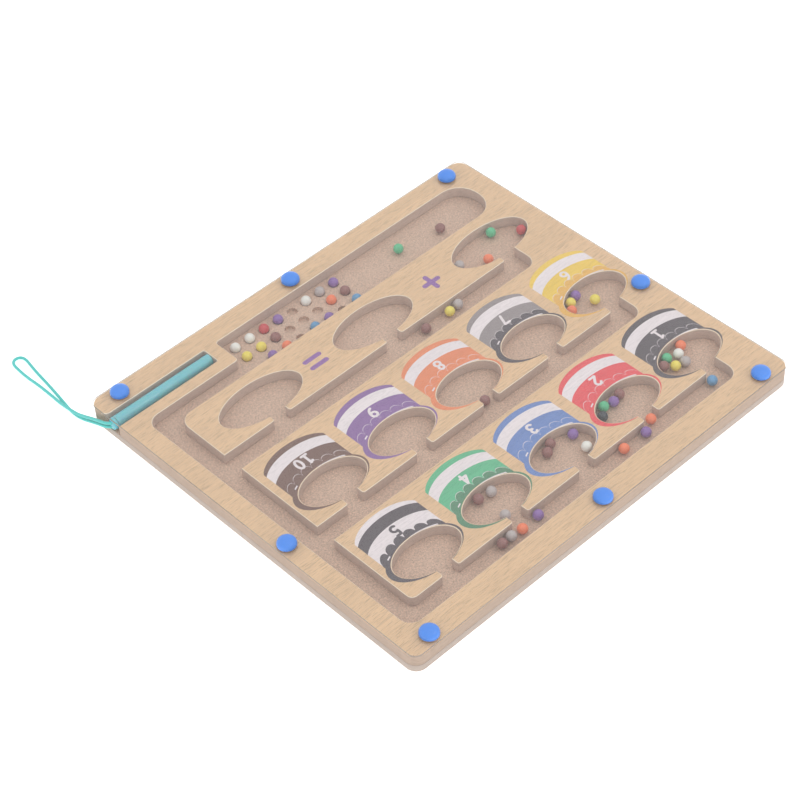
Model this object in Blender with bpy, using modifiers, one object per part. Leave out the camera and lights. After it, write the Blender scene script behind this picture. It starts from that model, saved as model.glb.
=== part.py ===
"""Magnetic maze board: a routed wooden plate on a base board, under a clear screwed cover.

Painted steel beads lie in its channels, pockets and dimples, and are drawn about by the
magnet in a pen, which slides into a slot at the board's right-hand edge. Lengths are in
metres. The origin is under the middle of the board, +X is the reading direction, +Y goes to
the board's back edge and +Z is up.
"""

import math

import bmesh
import bpy
from mathutils import Vector

MM = 0.001

# Fits: what lies on a neighbour keeps SEAT_GAP to it, and a cutter runs past by OVERRUN
SEAT_GAP = 0.3 * MM
OVERRUN = 1.0 * MM
WELD_DISTANCE = 0.001 * MM
SCREW_MERGE = 0.01 * MM

# Beads
BEAD_DIAMETER = 6.4 * MM
BEAD_GAP = 0.5 * MM
BEAD_HEADROOM = 1.4 * MM
SETTLE_ROUNDS = 200

# Layers, bottom to top
BASE_THICKNESS = 4.7 * MM
COVER_THICKNESS = 1.2 * MM
CHANNEL_HEIGHT = BEAD_DIAMETER + BEAD_HEADROOM
PLATE_THICKNESS = CHANNEL_HEIGHT - 2 * SEAT_GAP
BOARD_CORNER = 7.2 * MM
COVER_CORNER = 5.8 * MM

# Maze, along the board
POCKETS_IN_ROW = 5
POCKET_LENGTH = 45.4 * MM
POCKET_SPACING = 7.7 * MM
LEFT_EDGE = 8.8 * MM
STRIP_END = 6.2 * MM
SIDE_CHANNEL_WIDTH = 13.6 * MM
RIGHT_EDGE = 13.6 * MM
NECK_WIDTH = 11.6 * MM
END_NECK_EXTRA = 1.2 * MM

# Maze, across the board, from the back edge to the front one
BACK_EDGE = 17.7 * MM
OUTER_CHANNEL_WIDTH = 12.8 * MM
NECK_LENGTH = 4.9 * MM
POCKET_WIDTH = 27.4 * MM
UPPER_LABEL_HEIGHT = 28.5 * MM
MIDDLE_CHANNEL_WIDTH = 13.4 * MM
LOWER_LABEL_HEIGHT = 30.3 * MM
SUM_CHANNEL_WIDTH = 14.6 * MM
SUM_NECK_LENGTH = 3.9 * MM
SUM_POCKET_WIDTH = 29.2 * MM
SUM_EDGE = 7.4 * MM
TRAY_WIDTH = 32.7 * MM
FRONT_EDGE = 14.9 * MM

# Sum pockets: the free length of their strip is shared out before, between and after them
SUM_POCKET_LENGTH = 58.8 * MM
SUM_SPACE_SHARES = (0.136, 0.409, 0.307, 0.148)

# Tray and the way that joins it to the side channel
TRAY_LEFT_EDGE = 14.7 * MM
LINK_WIDTH = 12.1 * MM

# Corners of the routed shapes
OUTER_CORNER = 8.0 * MM
CHANNEL_END_CORNER = 7.5 * MM
LINK_CORNER = 8.0 * MM
TRAY_CORNER = 15.0 * MM
TRAY_SMALL_CORNER = 2.0 * MM
STRIP_CORNER = 4.0 * MM
SUM_STRIP_CORNER = 9.0 * MM
NECK_CORNER = 1.4 * MM
SLOT_CORNER = 1.2 * MM
SLOT_MOUTH_CORNER = 4.0 * MM

# Dimples that park a bead each, row by row from the front
DIMPLES_IN_ROWS = (8, 8, 7)
DIMPLE_CLEARANCE = 0.15 * MM
DIMPLE_DEPTH = 2.2 * MM
DIMPLE_SPACING_X = 4.85 * MM
DIMPLE_SPACING_Y = 4.1 * MM
DIMPLE_END_DISTANCE = 5.84 * MM
DIMPLE_FRONT_DISTANCE = 3.47 * MM

# Screws with domed plastic heads
FRONT_SCREW_INSET = 7.6 * MM
BACK_SCREW_INSET = 7.0 * MM
LEFT_SCREW_INSET = 8.1 * MM
RIGHT_SCREW_INSET = 6.6 * MM
LEFT_CORNER_SCREW_INSET = 18.2 * MM
RIGHT_CORNER_SCREW_INSET = 17.0 * MM
LEFT_SCREW_SHARE = 0.199
RIGHT_SCREW_SHARE = 0.213
SHANK_DIAMETER = 2.8 * MM
SHANK_TIP_LENGTH = 2.0 * MM
SCREW_CLEARANCE = 0.3 * MM
PILOT_FLOOR = 1.0 * MM
HEAD_DIAMETER = 11.4 * MM
HEAD_HEIGHT = 4.6 * MM
HEAD_RIM_SHARE = 0.25

# Pen, from its inner end to the board's edge
PEN_CLEARANCE = 0.3 * MM
PEN_WALL = 1.0 * MM
BARREL_LENGTH = 71.2 * MM
TIP_LENGTH = 2.0 * MM
TIP_CORNER = 0.6 * MM
PLUG_DEPTH = 3.5 * MM
MAGNET_LENGTH = 8.0 * MM
END_FLANGE_LENGTH = 1.4 * MM
END_DOME_LENGTH = 1.8 * MM
PEN_EDGE_INSET = 1.2 * MM
SLOT_SLACK = 5.4 * MM
SLOT_END_GAP = 0.3 * MM
SLOT_WALL = 8.9 * MM
PEN_REST_SHARE = 0.3

# Lanyard. Its holes lie one above the other and turn to the front, and their middles meet the
# pen's middle plane this far inside the end cap
CORD_DIAMETER = 1.9 * MM
CORD_STEP = 2.4 * MM
CORD_HOLE_CLEARANCE = 0.3 * MM
CORD_HOLE_SPACING = 3.0 * MM
CORD_HOLE_TURN = math.radians(45)
CORD_HOLE_INSET = 1.0 * MM
CORD_HOLE_DEPTH = 1.5 * MM
CORD_HOLE_REACH = 4.0 * MM

# How finely round shapes are faceted
POCKET_SEGMENTS = 40
CORNER_SEGMENTS = 5
SMALL_CORNER_SEGMENTS = 3
BOARD_CORNER_SEGMENTS = 8
DIMPLE_SEGMENTS = 14
HOLE_SEGMENTS = 12
SCREW_SEGMENTS = 16
PEN_SEGMENTS = 24
DOME_STEPS = 3
BEAD_SUBDIVISIONS = 2
SMOOTH_ANGLE = math.radians(30)
CORD_BEVEL_RESOLUTION = 2
ROUTE_SAMPLES = 24

# Places worked out along the board
POCKET_PITCH = POCKET_LENGTH + POCKET_SPACING
MAZE_LENGTH = LEFT_EDGE + POCKETS_IN_ROW * POCKET_PITCH - POCKET_SPACING + STRIP_END
BOARD_LENGTH = MAZE_LENGTH + SIDE_CHANNEL_WIDTH + RIGHT_EDGE
RIGHT = BOARD_LENGTH / 2
LEFT = -RIGHT
STRIP_END_X = LEFT + MAZE_LENGTH
SIDE_X = STRIP_END_X + SIDE_CHANNEL_WIDTH
FIRST_POCKET_X = LEFT + LEFT_EDGE + POCKET_LENGTH / 2
POCKET_XS = [FIRST_POCKET_X + POCKET_PITCH * column for column in range(POCKETS_IN_ROW)]
CHANNEL_LEFT_X = FIRST_POCKET_X - NECK_WIDTH / 2 - END_NECK_EXTRA
SUM_FREE_LENGTH = MAZE_LENGTH - (len(SUM_SPACE_SHARES) - 1) * SUM_POCKET_LENGTH
TRAY_LEFT_X = LEFT + TRAY_LEFT_EDGE

# Places worked out across the board
BOARD_DEPTH = (
    BACK_EDGE
    + OUTER_CHANNEL_WIDTH
    + NECK_LENGTH
    + POCKET_WIDTH
    + UPPER_LABEL_HEIGHT
    + MIDDLE_CHANNEL_WIDTH
    + NECK_LENGTH
    + POCKET_WIDTH
    + LOWER_LABEL_HEIGHT
    + SUM_CHANNEL_WIDTH
    + SUM_NECK_LENGTH
    + SUM_POCKET_WIDTH
    + SUM_EDGE
    + TRAY_WIDTH
    + FRONT_EDGE
)
BACK = BOARD_DEPTH / 2
FRONT = -BACK
OUTER_TOP = BACK - BACK_EDGE
UPPER_STRIP_TOP = OUTER_TOP - OUTER_CHANNEL_WIDTH
UPPER_POCKET_Y = UPPER_STRIP_TOP - NECK_LENGTH - POCKET_WIDTH / 2
MIDDLE_CHANNEL_TOP = UPPER_POCKET_Y - POCKET_WIDTH / 2 - UPPER_LABEL_HEIGHT
LOWER_STRIP_TOP = MIDDLE_CHANNEL_TOP - MIDDLE_CHANNEL_WIDTH
LOWER_POCKET_Y = LOWER_STRIP_TOP - NECK_LENGTH - POCKET_WIDTH / 2
SUM_CHANNEL_TOP = LOWER_POCKET_Y - POCKET_WIDTH / 2 - LOWER_LABEL_HEIGHT
SUM_STRIP_TOP = SUM_CHANNEL_TOP - SUM_CHANNEL_WIDTH
SUM_POCKET_Y = SUM_STRIP_TOP - SUM_NECK_LENGTH - SUM_POCKET_WIDTH / 2
TRAY_TOP = SUM_POCKET_Y - SUM_POCKET_WIDTH / 2 - SUM_EDGE
TRAY_BOTTOM = TRAY_TOP - TRAY_WIDTH
LINK_BOTTOM = TRAY_TOP - LINK_WIDTH

# Heights of the layers
BASE_TOP = BASE_THICKNESS
PLATE_BOTTOM = BASE_TOP + SEAT_GAP
PLATE_TOP = PLATE_BOTTOM + PLATE_THICKNESS
COVER_BOTTOM = PLATE_TOP + SEAT_GAP
COVER_TOP = COVER_BOTTOM + COVER_THICKNESS
HEAD_BOTTOM = COVER_TOP + SEAT_GAP

# Pen and its slot
PEN_DIAMETER = CHANNEL_HEIGHT - 2 * PEN_CLEARANCE
BARREL_BORE = PEN_DIAMETER - 2 * PEN_WALL
PLUG_DIAMETER = BARREL_BORE - 2 * SEAT_GAP
PEN_LENGTH = BARREL_LENGTH + SEAT_GAP + END_FLANGE_LENGTH
SLOT_WIDTH = PEN_DIAMETER + SLOT_SLACK
SLOT_X = RIGHT - PEN_EDGE_INSET - PEN_LENGTH - SLOT_END_GAP
SLOT_TOP = TRAY_BOTTOM + SLOT_WIDTH
PEN_X = SLOT_X + SLOT_END_GAP
PEN_Y = TRAY_BOTTOM + PEN_DIAMETER / 2 + SLOT_SLACK * PEN_REST_SHARE
PEN_Z = BASE_TOP + PEN_CLEARANCE + PEN_DIAMETER / 2
TRAY_RIGHT_X = SLOT_X - SLOT_WALL

# Beads
BEAD_RADIUS = BEAD_DIAMETER / 2
BEAD_Z = BASE_TOP + SEAT_GAP + BEAD_RADIUS
PARKED_Z = BEAD_Z - DIMPLE_DEPTH
DIMPLE_DIAMETER = BEAD_DIAMETER + 2 * DIMPLE_CLEARANCE
DIMPLE_PITCH_X = BEAD_DIAMETER + DIMPLE_SPACING_X
DIMPLE_PITCH_Y = BEAD_DIAMETER + DIMPLE_SPACING_Y
FIRST_DIMPLE_Y = TRAY_BOTTOM + BEAD_RADIUS + DIMPLE_FRONT_DISTANCE
HOLE_DIAMETER = SHANK_DIAMETER + 2 * SCREW_CLEARANCE

# Loose beads in a pocket: colour, then shares of the reach of its centre along X and Y
UPPER_BEAD_SHARES = {
    0: (
        ("gray", 0.28, 0.06),
        ("yellow", 0.6, -0.16),
        ("white", 0.12, -0.62),
        ("brown", 0.84, -0.5),
        ("green", 0.54, -0.84),
        ("orange", -0.2, -1),
    ),
    1: (
        ("brown", -0.14, -0.86),
        ("purple", 0.24, -0.7),
        ("green", 0.55, -0.84),
        ("black", 0.9, -0.33),
    ),
    2: (
        ("white", -0.67, 0.62),
        ("purple", -0.76, -0.6),
        ("brown", 0, -1),
        ("brown", 0.3, -0.66),
    ),
    3: (
        ("gray", 0.14, 0.95),
        ("gray", -0.24, -0.83),
        ("brown", 0.24, -0.94),
    ),
}
LOWER_BEAD_SHARES = {
    0: (
        ("yellow", 0.08, 0.14),
        ("orange", 0.94, -0.22),
        ("yellow", 0.74, -0.66),
        ("purple", 0.37, -0.93),
    ),
}
SUM_BEAD_SHARES = {
    0: (
        ("red", -0.96, 0.25),
        ("orange", 0.33, 0.65),
        ("green", -0.39, -0.84),
        ("gray", 0.96, -0.15),
    ),
}

# Loose beads in a channel or the tray: colour, share of the way from its left end to its
# right one, and share of its half width
OUTER_BEAD_SHARES = (
    ("blue", 0.0346, -1),
    ("purple", 0.2575, -0.9),
    ("orange", 0.328, -1),
    ("purple", 0.6, -1),
    ("orange", 0.6517, -0.7),
    ("gray", 0.6825, -0.95),
    ("brown", 0.711, -0.85),
)
SUM_CHANNEL_BEAD_SHARES = (
    ("gray", 0.217, -1),
    ("yellow", 0.249, -0.75),
    ("brown", 0.3315, -0.65),
)
TRAY_BEAD_SHARES = (
    ("brown", 0.168, 0.29),
    ("green", 0.327, -0.11),
)

# Loose beads in a neck: row, column, colour, and shares across the neck and of its length
NECK_BEAD_SHARES = (
    ("upper", 1, "orange", -0.2, 0.8),
    ("lower", 2, "brown", 0.4, 0),
)

# Beads parked in the dimples: row and column, counted from the front left one, and colour
PARKED_BEADS = (
    (0, 0, "purple"),
    (0, 1, "gray"),
    (0, 2, "white"),
    (0, 4, "purple"),
    (0, 5, "red"),
    (0, 6, "white"),
)

# Lanyard's route from the pen's end cap and back into it, in millimetres from the end face
# of the cap along X, from the pen's axis along Y, and from the resting surface up
LANYARD_ROUTE = (
    (-1.6, 0.6, 10.1),
    (-0.4, -0.6, 10.1),
    (0.7, -1.8, 10.0),
    (1.4, -3.3, 9.7),
    (1.8, -5.4, 9.1),
    (2.2, -9.3, 8.0),
    (2.9, -14.2, 6.7),
    (3.8, -19.5, 5.2),
    (4.7, -25.0, 3.9),
    (5.1, -30.7, 3.1),
    (5.3, -36.3, 2.5),
    (5.1, -42.8, 1.6),
    (4.7, -49.7, 1.0),
    (4.6, -62.0, 1.0),
    (5.1, -72.1, 1.0),
    (5.1, -78.7, 1.0),
    (4.8, -83.6, 1.0),
    (4.4, -87.4, 1.0),
    (3.4, -89.6, 1.0),
    (1.6, -91.0, 1.0),
    (-0.8, -91.0, 1.0),
    (-2.6, -89.6, 1.0),
    (-3.3, -87.3, 1.0),
    (-3.1, -84.0, 1.0),
    (-2.3, -79.4, 1.0),
    (-1.1, -71.7, 1.0),
    (0.0, -62.6, 1.0),
    (1.2, -53.8, 1.0),
    (2.4, -45.9, 1.0),
    (3.5, -39.1, 1.0),
    (4.4, -32.4, 1.0),
    (4.5, -26.3, 1.2),
    (3.9, -20.3, 2.2),
    (3.1, -14.7, 3.8),
    (2.4, -9.3, 5.4),
    (1.9, -5.4, 6.4),
    (1.5, -3.3, 6.9),
    (0.7, -1.8, 7.1),
    (-0.4, -0.6, 7.1),
    (-1.6, 0.6, 7.1),
)

COLOURS = {
    "birch": (0.72, 0.53, 0.36),
    "board": (0.52, 0.37, 0.27),
    "acrylic": (0.9, 0.93, 0.95),
    "cap_blue": (0.1, 0.32, 0.8),
    "magnet": (0.3, 0.3, 0.32),
    "pen_blue": (0.22, 0.58, 0.72),
    "cord_blue": (0.12, 0.62, 0.62),
    "white": (0.85, 0.85, 0.83),
    "red": (0.6, 0.06, 0.09),
    "purple": (0.22, 0.11, 0.42),
    "gray": (0.36, 0.37, 0.38),
    "yellow": (0.78, 0.62, 0.1),
    "brown": (0.12, 0.06, 0.06),
    "orange": (0.8, 0.18, 0.08),
    "blue": (0.08, 0.3, 0.6),
    "green": (0.07, 0.42, 0.2),
    "black": (0.03, 0.035, 0.04),
}


def clear_scene():
    """Remove whatever the scene holds."""
    for thing in list(bpy.data.objects):
        bpy.data.objects.remove(thing, do_unlink=True)


def new_collection(name):
    """A collection linked to the scene."""
    made = bpy.data.collections.new(name)
    bpy.context.scene.collection.children.link(made)
    return made


def material(name, roughness=0.5, metallic=0.0, alpha=1.0):
    """A Principled material in one of the named colours, made once."""
    if name in bpy.data.materials:
        return bpy.data.materials[name]
    made = bpy.data.materials.new(name)
    made.use_nodes = True
    shader = made.node_tree.nodes["Principled BSDF"]
    shader.inputs["Base Color"].default_value = (*COLOURS[name], 1)
    shader.inputs["Roughness"].default_value = roughness
    shader.inputs["Metallic"].default_value = metallic
    shader.inputs["Alpha"].default_value = alpha
    return made


def add_object(name, mesh, collection, location=(0, 0, 0)):
    """An object for a mesh, in a collection."""
    made = bpy.data.objects.new(name, mesh)
    made.location = location
    collection.objects.link(made)
    return made


def as_cutter(thing):
    """Mark a solid as one that only cuts."""
    thing.hide_render = True
    thing.display_type = "WIRE"
    return thing


def arc(centre, radius, start, end, steps):
    """Points on an arc, from one angle to another."""
    return [
        (
            centre[0] + radius * math.cos(start + (end - start) * step / steps),
            centre[1] + radius * math.sin(start + (end - start) * step / steps),
        )
        for step in range(steps + 1)
    ]


def ellipse(centre, length, width, steps):
    """Points round an ellipse."""
    turns = [2 * math.pi * step / steps for step in range(steps)]
    return [
        (centre[0] + length / 2 * math.cos(turn), centre[1] + width / 2 * math.sin(turn))
        for turn in turns
    ]


def rounded_box(left, right, front, back, corners, steps=CORNER_SEGMENTS):
    """A rectangle whose corners, from front left and anticlockwise, have these radii, as far
    as its sides have room for them."""
    places = ((left, front), (right, front), (right, back), (left, back))
    inward = ((1, 1), (-1, 1), (-1, -1), (1, -1))
    sides = (right - left, back - front) * 2
    points = []
    for number, ((x, y), (along, across), radius) in enumerate(zip(places, inward, corners)):
        room_after = sides[number] / (2 if corners[(number + 1) % len(corners)] else 1)
        room_before = sides[number - 1] / (2 if corners[number - 1] else 1)
        radius = min(radius, room_after, room_before)
        if radius:
            centre = (x + along * radius, y + across * radius)
            start = math.pi + number * math.pi / 2
            points += arc(centre, radius, start, start + math.pi / 2, steps)
        else:
            points.append((x, y))
    return points


def corner_relief(x, y, out_x, out_y, radius, steps=CORNER_SEGMENTS):
    """What is routed off outside a rounded corner at x, y, whose outer side is out_x, out_y."""
    centre = (x - out_x * radius, y - out_y * radius)
    start = math.atan2(out_y, 0)
    end = math.atan2(0, out_x)
    if end - start > math.pi:
        end -= 2 * math.pi
    if start - end > math.pi:
        end += 2 * math.pi
    curve = arc(centre, radius, start, end, steps)
    past_x = x + out_x * OVERRUN
    past_y = y + out_y * OVERRUN
    return [(past_x, past_y), (centre[0], past_y)] + curve + [(past_x, centre[1])]


def slab(name, outline, bottom, top, collection):
    """A flat outline given a thickness, as a closed mesh."""
    curve = bpy.data.curves.new(name, "CURVE")
    curve.dimensions = "2D"
    curve.fill_mode = "BOTH"
    curve.extrude = (top - bottom) / 2
    spline = curve.splines.new("POLY")
    spline.points.add(len(outline) - 1)
    for point, (x, y) in zip(spline.points, outline):
        point.co = (x, y, 0, 1)
    spline.use_cyclic_u = True
    drawn = add_object(name + "_outline", curve, collection)
    mesh = bpy.data.meshes.new_from_object(
        drawn.evaluated_get(bpy.context.evaluated_depsgraph_get())
    )
    bpy.data.objects.remove(drawn)
    welded = bmesh.new()
    welded.from_mesh(mesh)
    bmesh.ops.remove_doubles(welded, verts=welded.verts, dist=WELD_DISTANCE)
    welded.to_mesh(mesh)
    welded.free()
    return add_object(name, mesh, collection, (0, 0, (bottom + top) / 2))


def cylinder(name, diameter, bottom, top, place, steps, collection):
    """An upright cylinder."""
    made = bmesh.new()
    bmesh.ops.create_cone(
        made,
        cap_ends=True,
        segments=steps,
        radius1=diameter / 2,
        radius2=diameter / 2,
        depth=top - bottom,
    )
    mesh = bpy.data.meshes.new(name)
    made.to_mesh(mesh)
    made.free()
    return add_object(name, mesh, collection, (*place, (bottom + top) / 2))


def cut(body, cutters):
    """Cut a body with every solid of a collection."""
    modifier = body.modifiers.new("cut by " + cutters.name, "BOOLEAN")
    modifier.operation = "DIFFERENCE"
    modifier.solver = "EXACT"
    modifier.operand_type = "COLLECTION"
    modifier.collection = cutters


def turned(name, profile, steps, collection):
    """A profile of radius and height, turned about Z. It runs down its outer side."""
    mesh = bpy.data.meshes.new(name)
    links = [(number, number + 1) for number in range(len(profile) - 1)]
    mesh.from_pydata([(radius, 0, height) for radius, height in profile], links, [])
    made = add_object(name, mesh, collection)
    modifier = made.modifiers.new("turn", "SCREW")
    modifier.axis = "Z"
    modifier.angle = 2 * math.pi
    modifier.steps = steps
    modifier.render_steps = steps
    modifier.use_merge_vertices = True
    modifier.merge_threshold = SCREW_MERGE
    return made


def baked(thing):
    """The mesh of an object with its modifiers applied; the object is removed."""
    bpy.context.view_layer.update()
    mesh = bpy.data.meshes.new_from_object(
        thing.evaluated_get(bpy.context.evaluated_depsgraph_get())
    )
    bpy.data.objects.remove(thing)
    return mesh


def dome(radius, height, low, rim_share):
    """A profile from the top of a low dome, over its edge, to the foot of its rim."""
    rim = height * rim_share
    rise = height - rim
    turns = [math.pi / 2 * step / DOME_STEPS for step in range(DOME_STEPS + 1)]
    crown = [
        (radius * math.sin(turn), low + rim + rise * math.cos(turn)) for turn in turns
    ]
    return crown + [(radius, low)]


def smooth(thing):
    """Shade a round piece smooth up to an angle."""
    thing.data.shade_smooth()
    thing.data.set_sharp_from_angle(angle=SMOOTH_ANGLE)


def sum_channel_left():
    """Closed left end of the sum channel."""
    return sum_pocket_xs()[0] - NECK_WIDTH / 2 - END_NECK_EXTRA


def sum_pocket_xs():
    """Middles of the sum pockets along X."""
    places = []
    x = LEFT
    for share in SUM_SPACE_SHARES[:-1]:
        x += SUM_FREE_LENGTH * share
        places.append(x + SUM_POCKET_LENGTH / 2)
        x += SUM_POCKET_LENGTH
    return places


def screw_places():
    """Where the cover is screwed down: corners, middles of back and front, and both sides."""
    left = LEFT + LEFT_CORNER_SCREW_INSET
    right = RIGHT - RIGHT_CORNER_SCREW_INSET
    columns = (left, (left + right) / 2, right)
    rows = (FRONT + FRONT_SCREW_INSET, BACK - BACK_SCREW_INSET)
    sides = [
        (LEFT + LEFT_SCREW_INSET, BACK * LEFT_SCREW_SHARE),
        (RIGHT - RIGHT_SCREW_INSET, BACK * RIGHT_SCREW_SHARE),
    ]
    return [(x, y) for y in rows for x in columns] + sides


def neck_outlines(x, strip_top, pocket_y, first):
    """A neck from a channel down into a pocket, with the rounded corners of its mouth. A row's
    first neck is wider, and its left side runs on from the channel's closed end."""
    left = x - NECK_WIDTH / 2
    right = x + NECK_WIDTH / 2
    shapes = [corner_relief(right, strip_top, -1, 1, NECK_CORNER, SMALL_CORNER_SEGMENTS)]
    if first:
        left -= END_NECK_EXTRA
    else:
        shapes.append(corner_relief(left, strip_top, 1, 1, NECK_CORNER, SMALL_CORNER_SEGMENTS))
    shapes.append(rounded_box(left, right, pocket_y, strip_top + OVERRUN, (0, 0, 0, 0)))
    return shapes


def channel_outlines():
    """The long ways of the maze: outer, side, middle and sum channels, link and tray."""
    merged = STRIP_END_X + OVERRUN
    tray_corners = (TRAY_CORNER, TRAY_SMALL_CORNER, 0, TRAY_CORNER)
    return [
        rounded_box(
            CHANNEL_LEFT_X, SIDE_X, UPPER_STRIP_TOP, OUTER_TOP, (0, 0, OUTER_CORNER, OUTER_CORNER)
        ),
        rounded_box(
            STRIP_END_X, SIDE_X, LINK_BOTTOM, OUTER_TOP, (0, LINK_CORNER, OUTER_CORNER, 0)
        ),
        rounded_box(
            CHANNEL_LEFT_X,
            merged,
            LOWER_STRIP_TOP,
            MIDDLE_CHANNEL_TOP,
            (0, 0, 0, CHANNEL_END_CORNER),
        ),
        rounded_box(
            sum_channel_left(),
            merged,
            SUM_STRIP_TOP,
            SUM_CHANNEL_TOP,
            (0, 0, 0, CHANNEL_END_CORNER),
        ),
        rounded_box(
            TRAY_RIGHT_X - OVERRUN, SIDE_X, LINK_BOTTOM, TRAY_TOP, (0, LINK_CORNER, 0, 0)
        ),
        rounded_box(TRAY_LEFT_X, TRAY_RIGHT_X, TRAY_BOTTOM, TRAY_TOP, tray_corners),
    ]


def pocket_outlines():
    """Every pocket and the neck that leads to it."""
    shapes = []
    for column, x in enumerate(POCKET_XS):
        for y, top in ((UPPER_POCKET_Y, UPPER_STRIP_TOP), (LOWER_POCKET_Y, LOWER_STRIP_TOP)):
            shapes.append(ellipse((x, y), POCKET_LENGTH, POCKET_WIDTH, POCKET_SEGMENTS))
            shapes += neck_outlines(x, top, y, column == 0)
    for column, x in enumerate(sum_pocket_xs()):
        shapes.append(
            ellipse((x, SUM_POCKET_Y), SUM_POCKET_LENGTH, SUM_POCKET_WIDTH, POCKET_SEGMENTS)
        )
        shapes += neck_outlines(x, SUM_STRIP_TOP, SUM_POCKET_Y, column == 0)
    return shapes


def corner_outlines():
    """What is routed off the outer corners of the strips, the tray's corner and the slot."""
    return [
        corner_relief(STRIP_END_X, UPPER_STRIP_TOP, 1, 1, STRIP_CORNER),
        corner_relief(STRIP_END_X, TRAY_TOP, 1, -1, SUM_STRIP_CORNER),
        corner_relief(TRAY_RIGHT_X, LINK_BOTTOM, -1, 1, TRAY_SMALL_CORNER, SMALL_CORNER_SEGMENTS),
        corner_relief(RIGHT, TRAY_BOTTOM, 1, 1, SLOT_MOUTH_CORNER),
    ]


def slot_outline():
    """The pen's slot, open at the board's right edge."""
    corners = (SLOT_CORNER, 0, 0, SLOT_CORNER)
    return rounded_box(SLOT_X, RIGHT + OVERRUN, TRAY_BOTTOM, SLOT_TOP, corners)


def board_outline(corner):
    """The outline of base, plate and cover, with its own corners on each."""
    return rounded_box(LEFT, RIGHT, FRONT, BACK, [corner] * 4, BOARD_CORNER_SEGMENTS)


def dimple_place(row, column):
    """Middle of a dimple, counted from the front left one."""
    last_x = TRAY_RIGHT_X - BEAD_RADIUS - DIMPLE_END_DISTANCE
    before_last = max(DIMPLES_IN_ROWS) - 1 - column
    return last_x - DIMPLE_PITCH_X * before_last, FIRST_DIMPLE_Y + DIMPLE_PITCH_Y * row


def make_base(parts, cutters):
    """The lower board, with its dimples and the screws' pilot holes."""
    base = slab("base_board", board_outline(BOARD_CORNER), 0, BASE_THICKNESS, parts)
    base.data.materials.append(material("board", 0.8))
    wells = bpy.data.collections.new("dimples and pilot holes")
    cutters.children.link(wells)
    top = BASE_TOP + OVERRUN
    low = BASE_TOP - DIMPLE_DEPTH
    for row, count in enumerate(DIMPLES_IN_ROWS):
        for column in range(count):
            name = f"dimple_cutter_{row}_{column}"
            place = dimple_place(row, column)
            as_cutter(cylinder(name, DIMPLE_DIAMETER, low, top, place, DIMPLE_SEGMENTS, wells))
    for number, place in enumerate(screw_places()):
        name = f"pilot_cutter_{number}"
        as_cutter(cylinder(name, HOLE_DIAMETER, PILOT_FLOOR, top, place, HOLE_SEGMENTS, wells))
    cut(base, wells)


def make_plate(parts, cutters):
    """The routed upper board."""
    plate = slab("maze_plate", board_outline(BOARD_CORNER), PLATE_BOTTOM, PLATE_TOP, parts)
    plate.data.materials.append(material("birch", 0.6))
    routes = bpy.data.collections.new("maze routes")
    cutters.children.link(routes)
    low = PLATE_BOTTOM - OVERRUN
    high = PLATE_TOP + OVERRUN
    shapes = channel_outlines() + pocket_outlines() + corner_outlines() + [slot_outline()]
    for number, shape in enumerate(shapes):
        as_cutter(slab(f"route_cutter_{number}", shape, low, high, routes))
    for number, place in enumerate(screw_places()):
        name = f"plate_hole_cutter_{number}"
        as_cutter(cylinder(name, HOLE_DIAMETER, low, high, place, HOLE_SEGMENTS, routes))
    cut(plate, routes)


def make_cover(parts, cutters):
    """The clear sheet over the whole board."""
    cover = slab("clear_cover", board_outline(COVER_CORNER), COVER_BOTTOM, COVER_TOP, parts)
    cover.data.materials.append(material("acrylic", 0.05, alpha=0.25))
    holes = bpy.data.collections.new("cover holes")
    cutters.children.link(holes)
    low = COVER_BOTTOM - OVERRUN
    high = COVER_TOP + OVERRUN
    for number, place in enumerate(screw_places()):
        name = f"cover_hole_cutter_{number}"
        as_cutter(cylinder(name, HOLE_DIAMETER, low, high, place, HOLE_SEGMENTS, holes))
    cut(cover, holes)


def make_screws(parts):
    """Screws through the cover and the plate into the base, each under a domed head."""
    shank = SHANK_DIAMETER / 2
    tip = PILOT_FLOOR + SCREW_CLEARANCE
    profile = dome(HEAD_DIAMETER / 2, HEAD_HEIGHT, HEAD_BOTTOM, HEAD_RIM_SHARE)
    profile += [(shank, HEAD_BOTTOM), (shank, tip + SHANK_TIP_LENGTH), (0, tip)]
    mesh = baked(turned("screw", profile, SCREW_SEGMENTS, parts))
    mesh.materials.append(material("cap_blue", 0.35))
    for number, place in enumerate(screw_places(), 1):
        smooth(add_object(f"domed_screw_{number}", mesh, parts, (*place, 0)))


def along_pen(thing, pen, start):
    """Lay a piece that was turned about Z along the pen, with its foot at start."""
    thing.parent = pen
    thing.rotation_euler = (0, math.pi / 2, 0)
    thing.location = (start, 0, 0)


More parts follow.
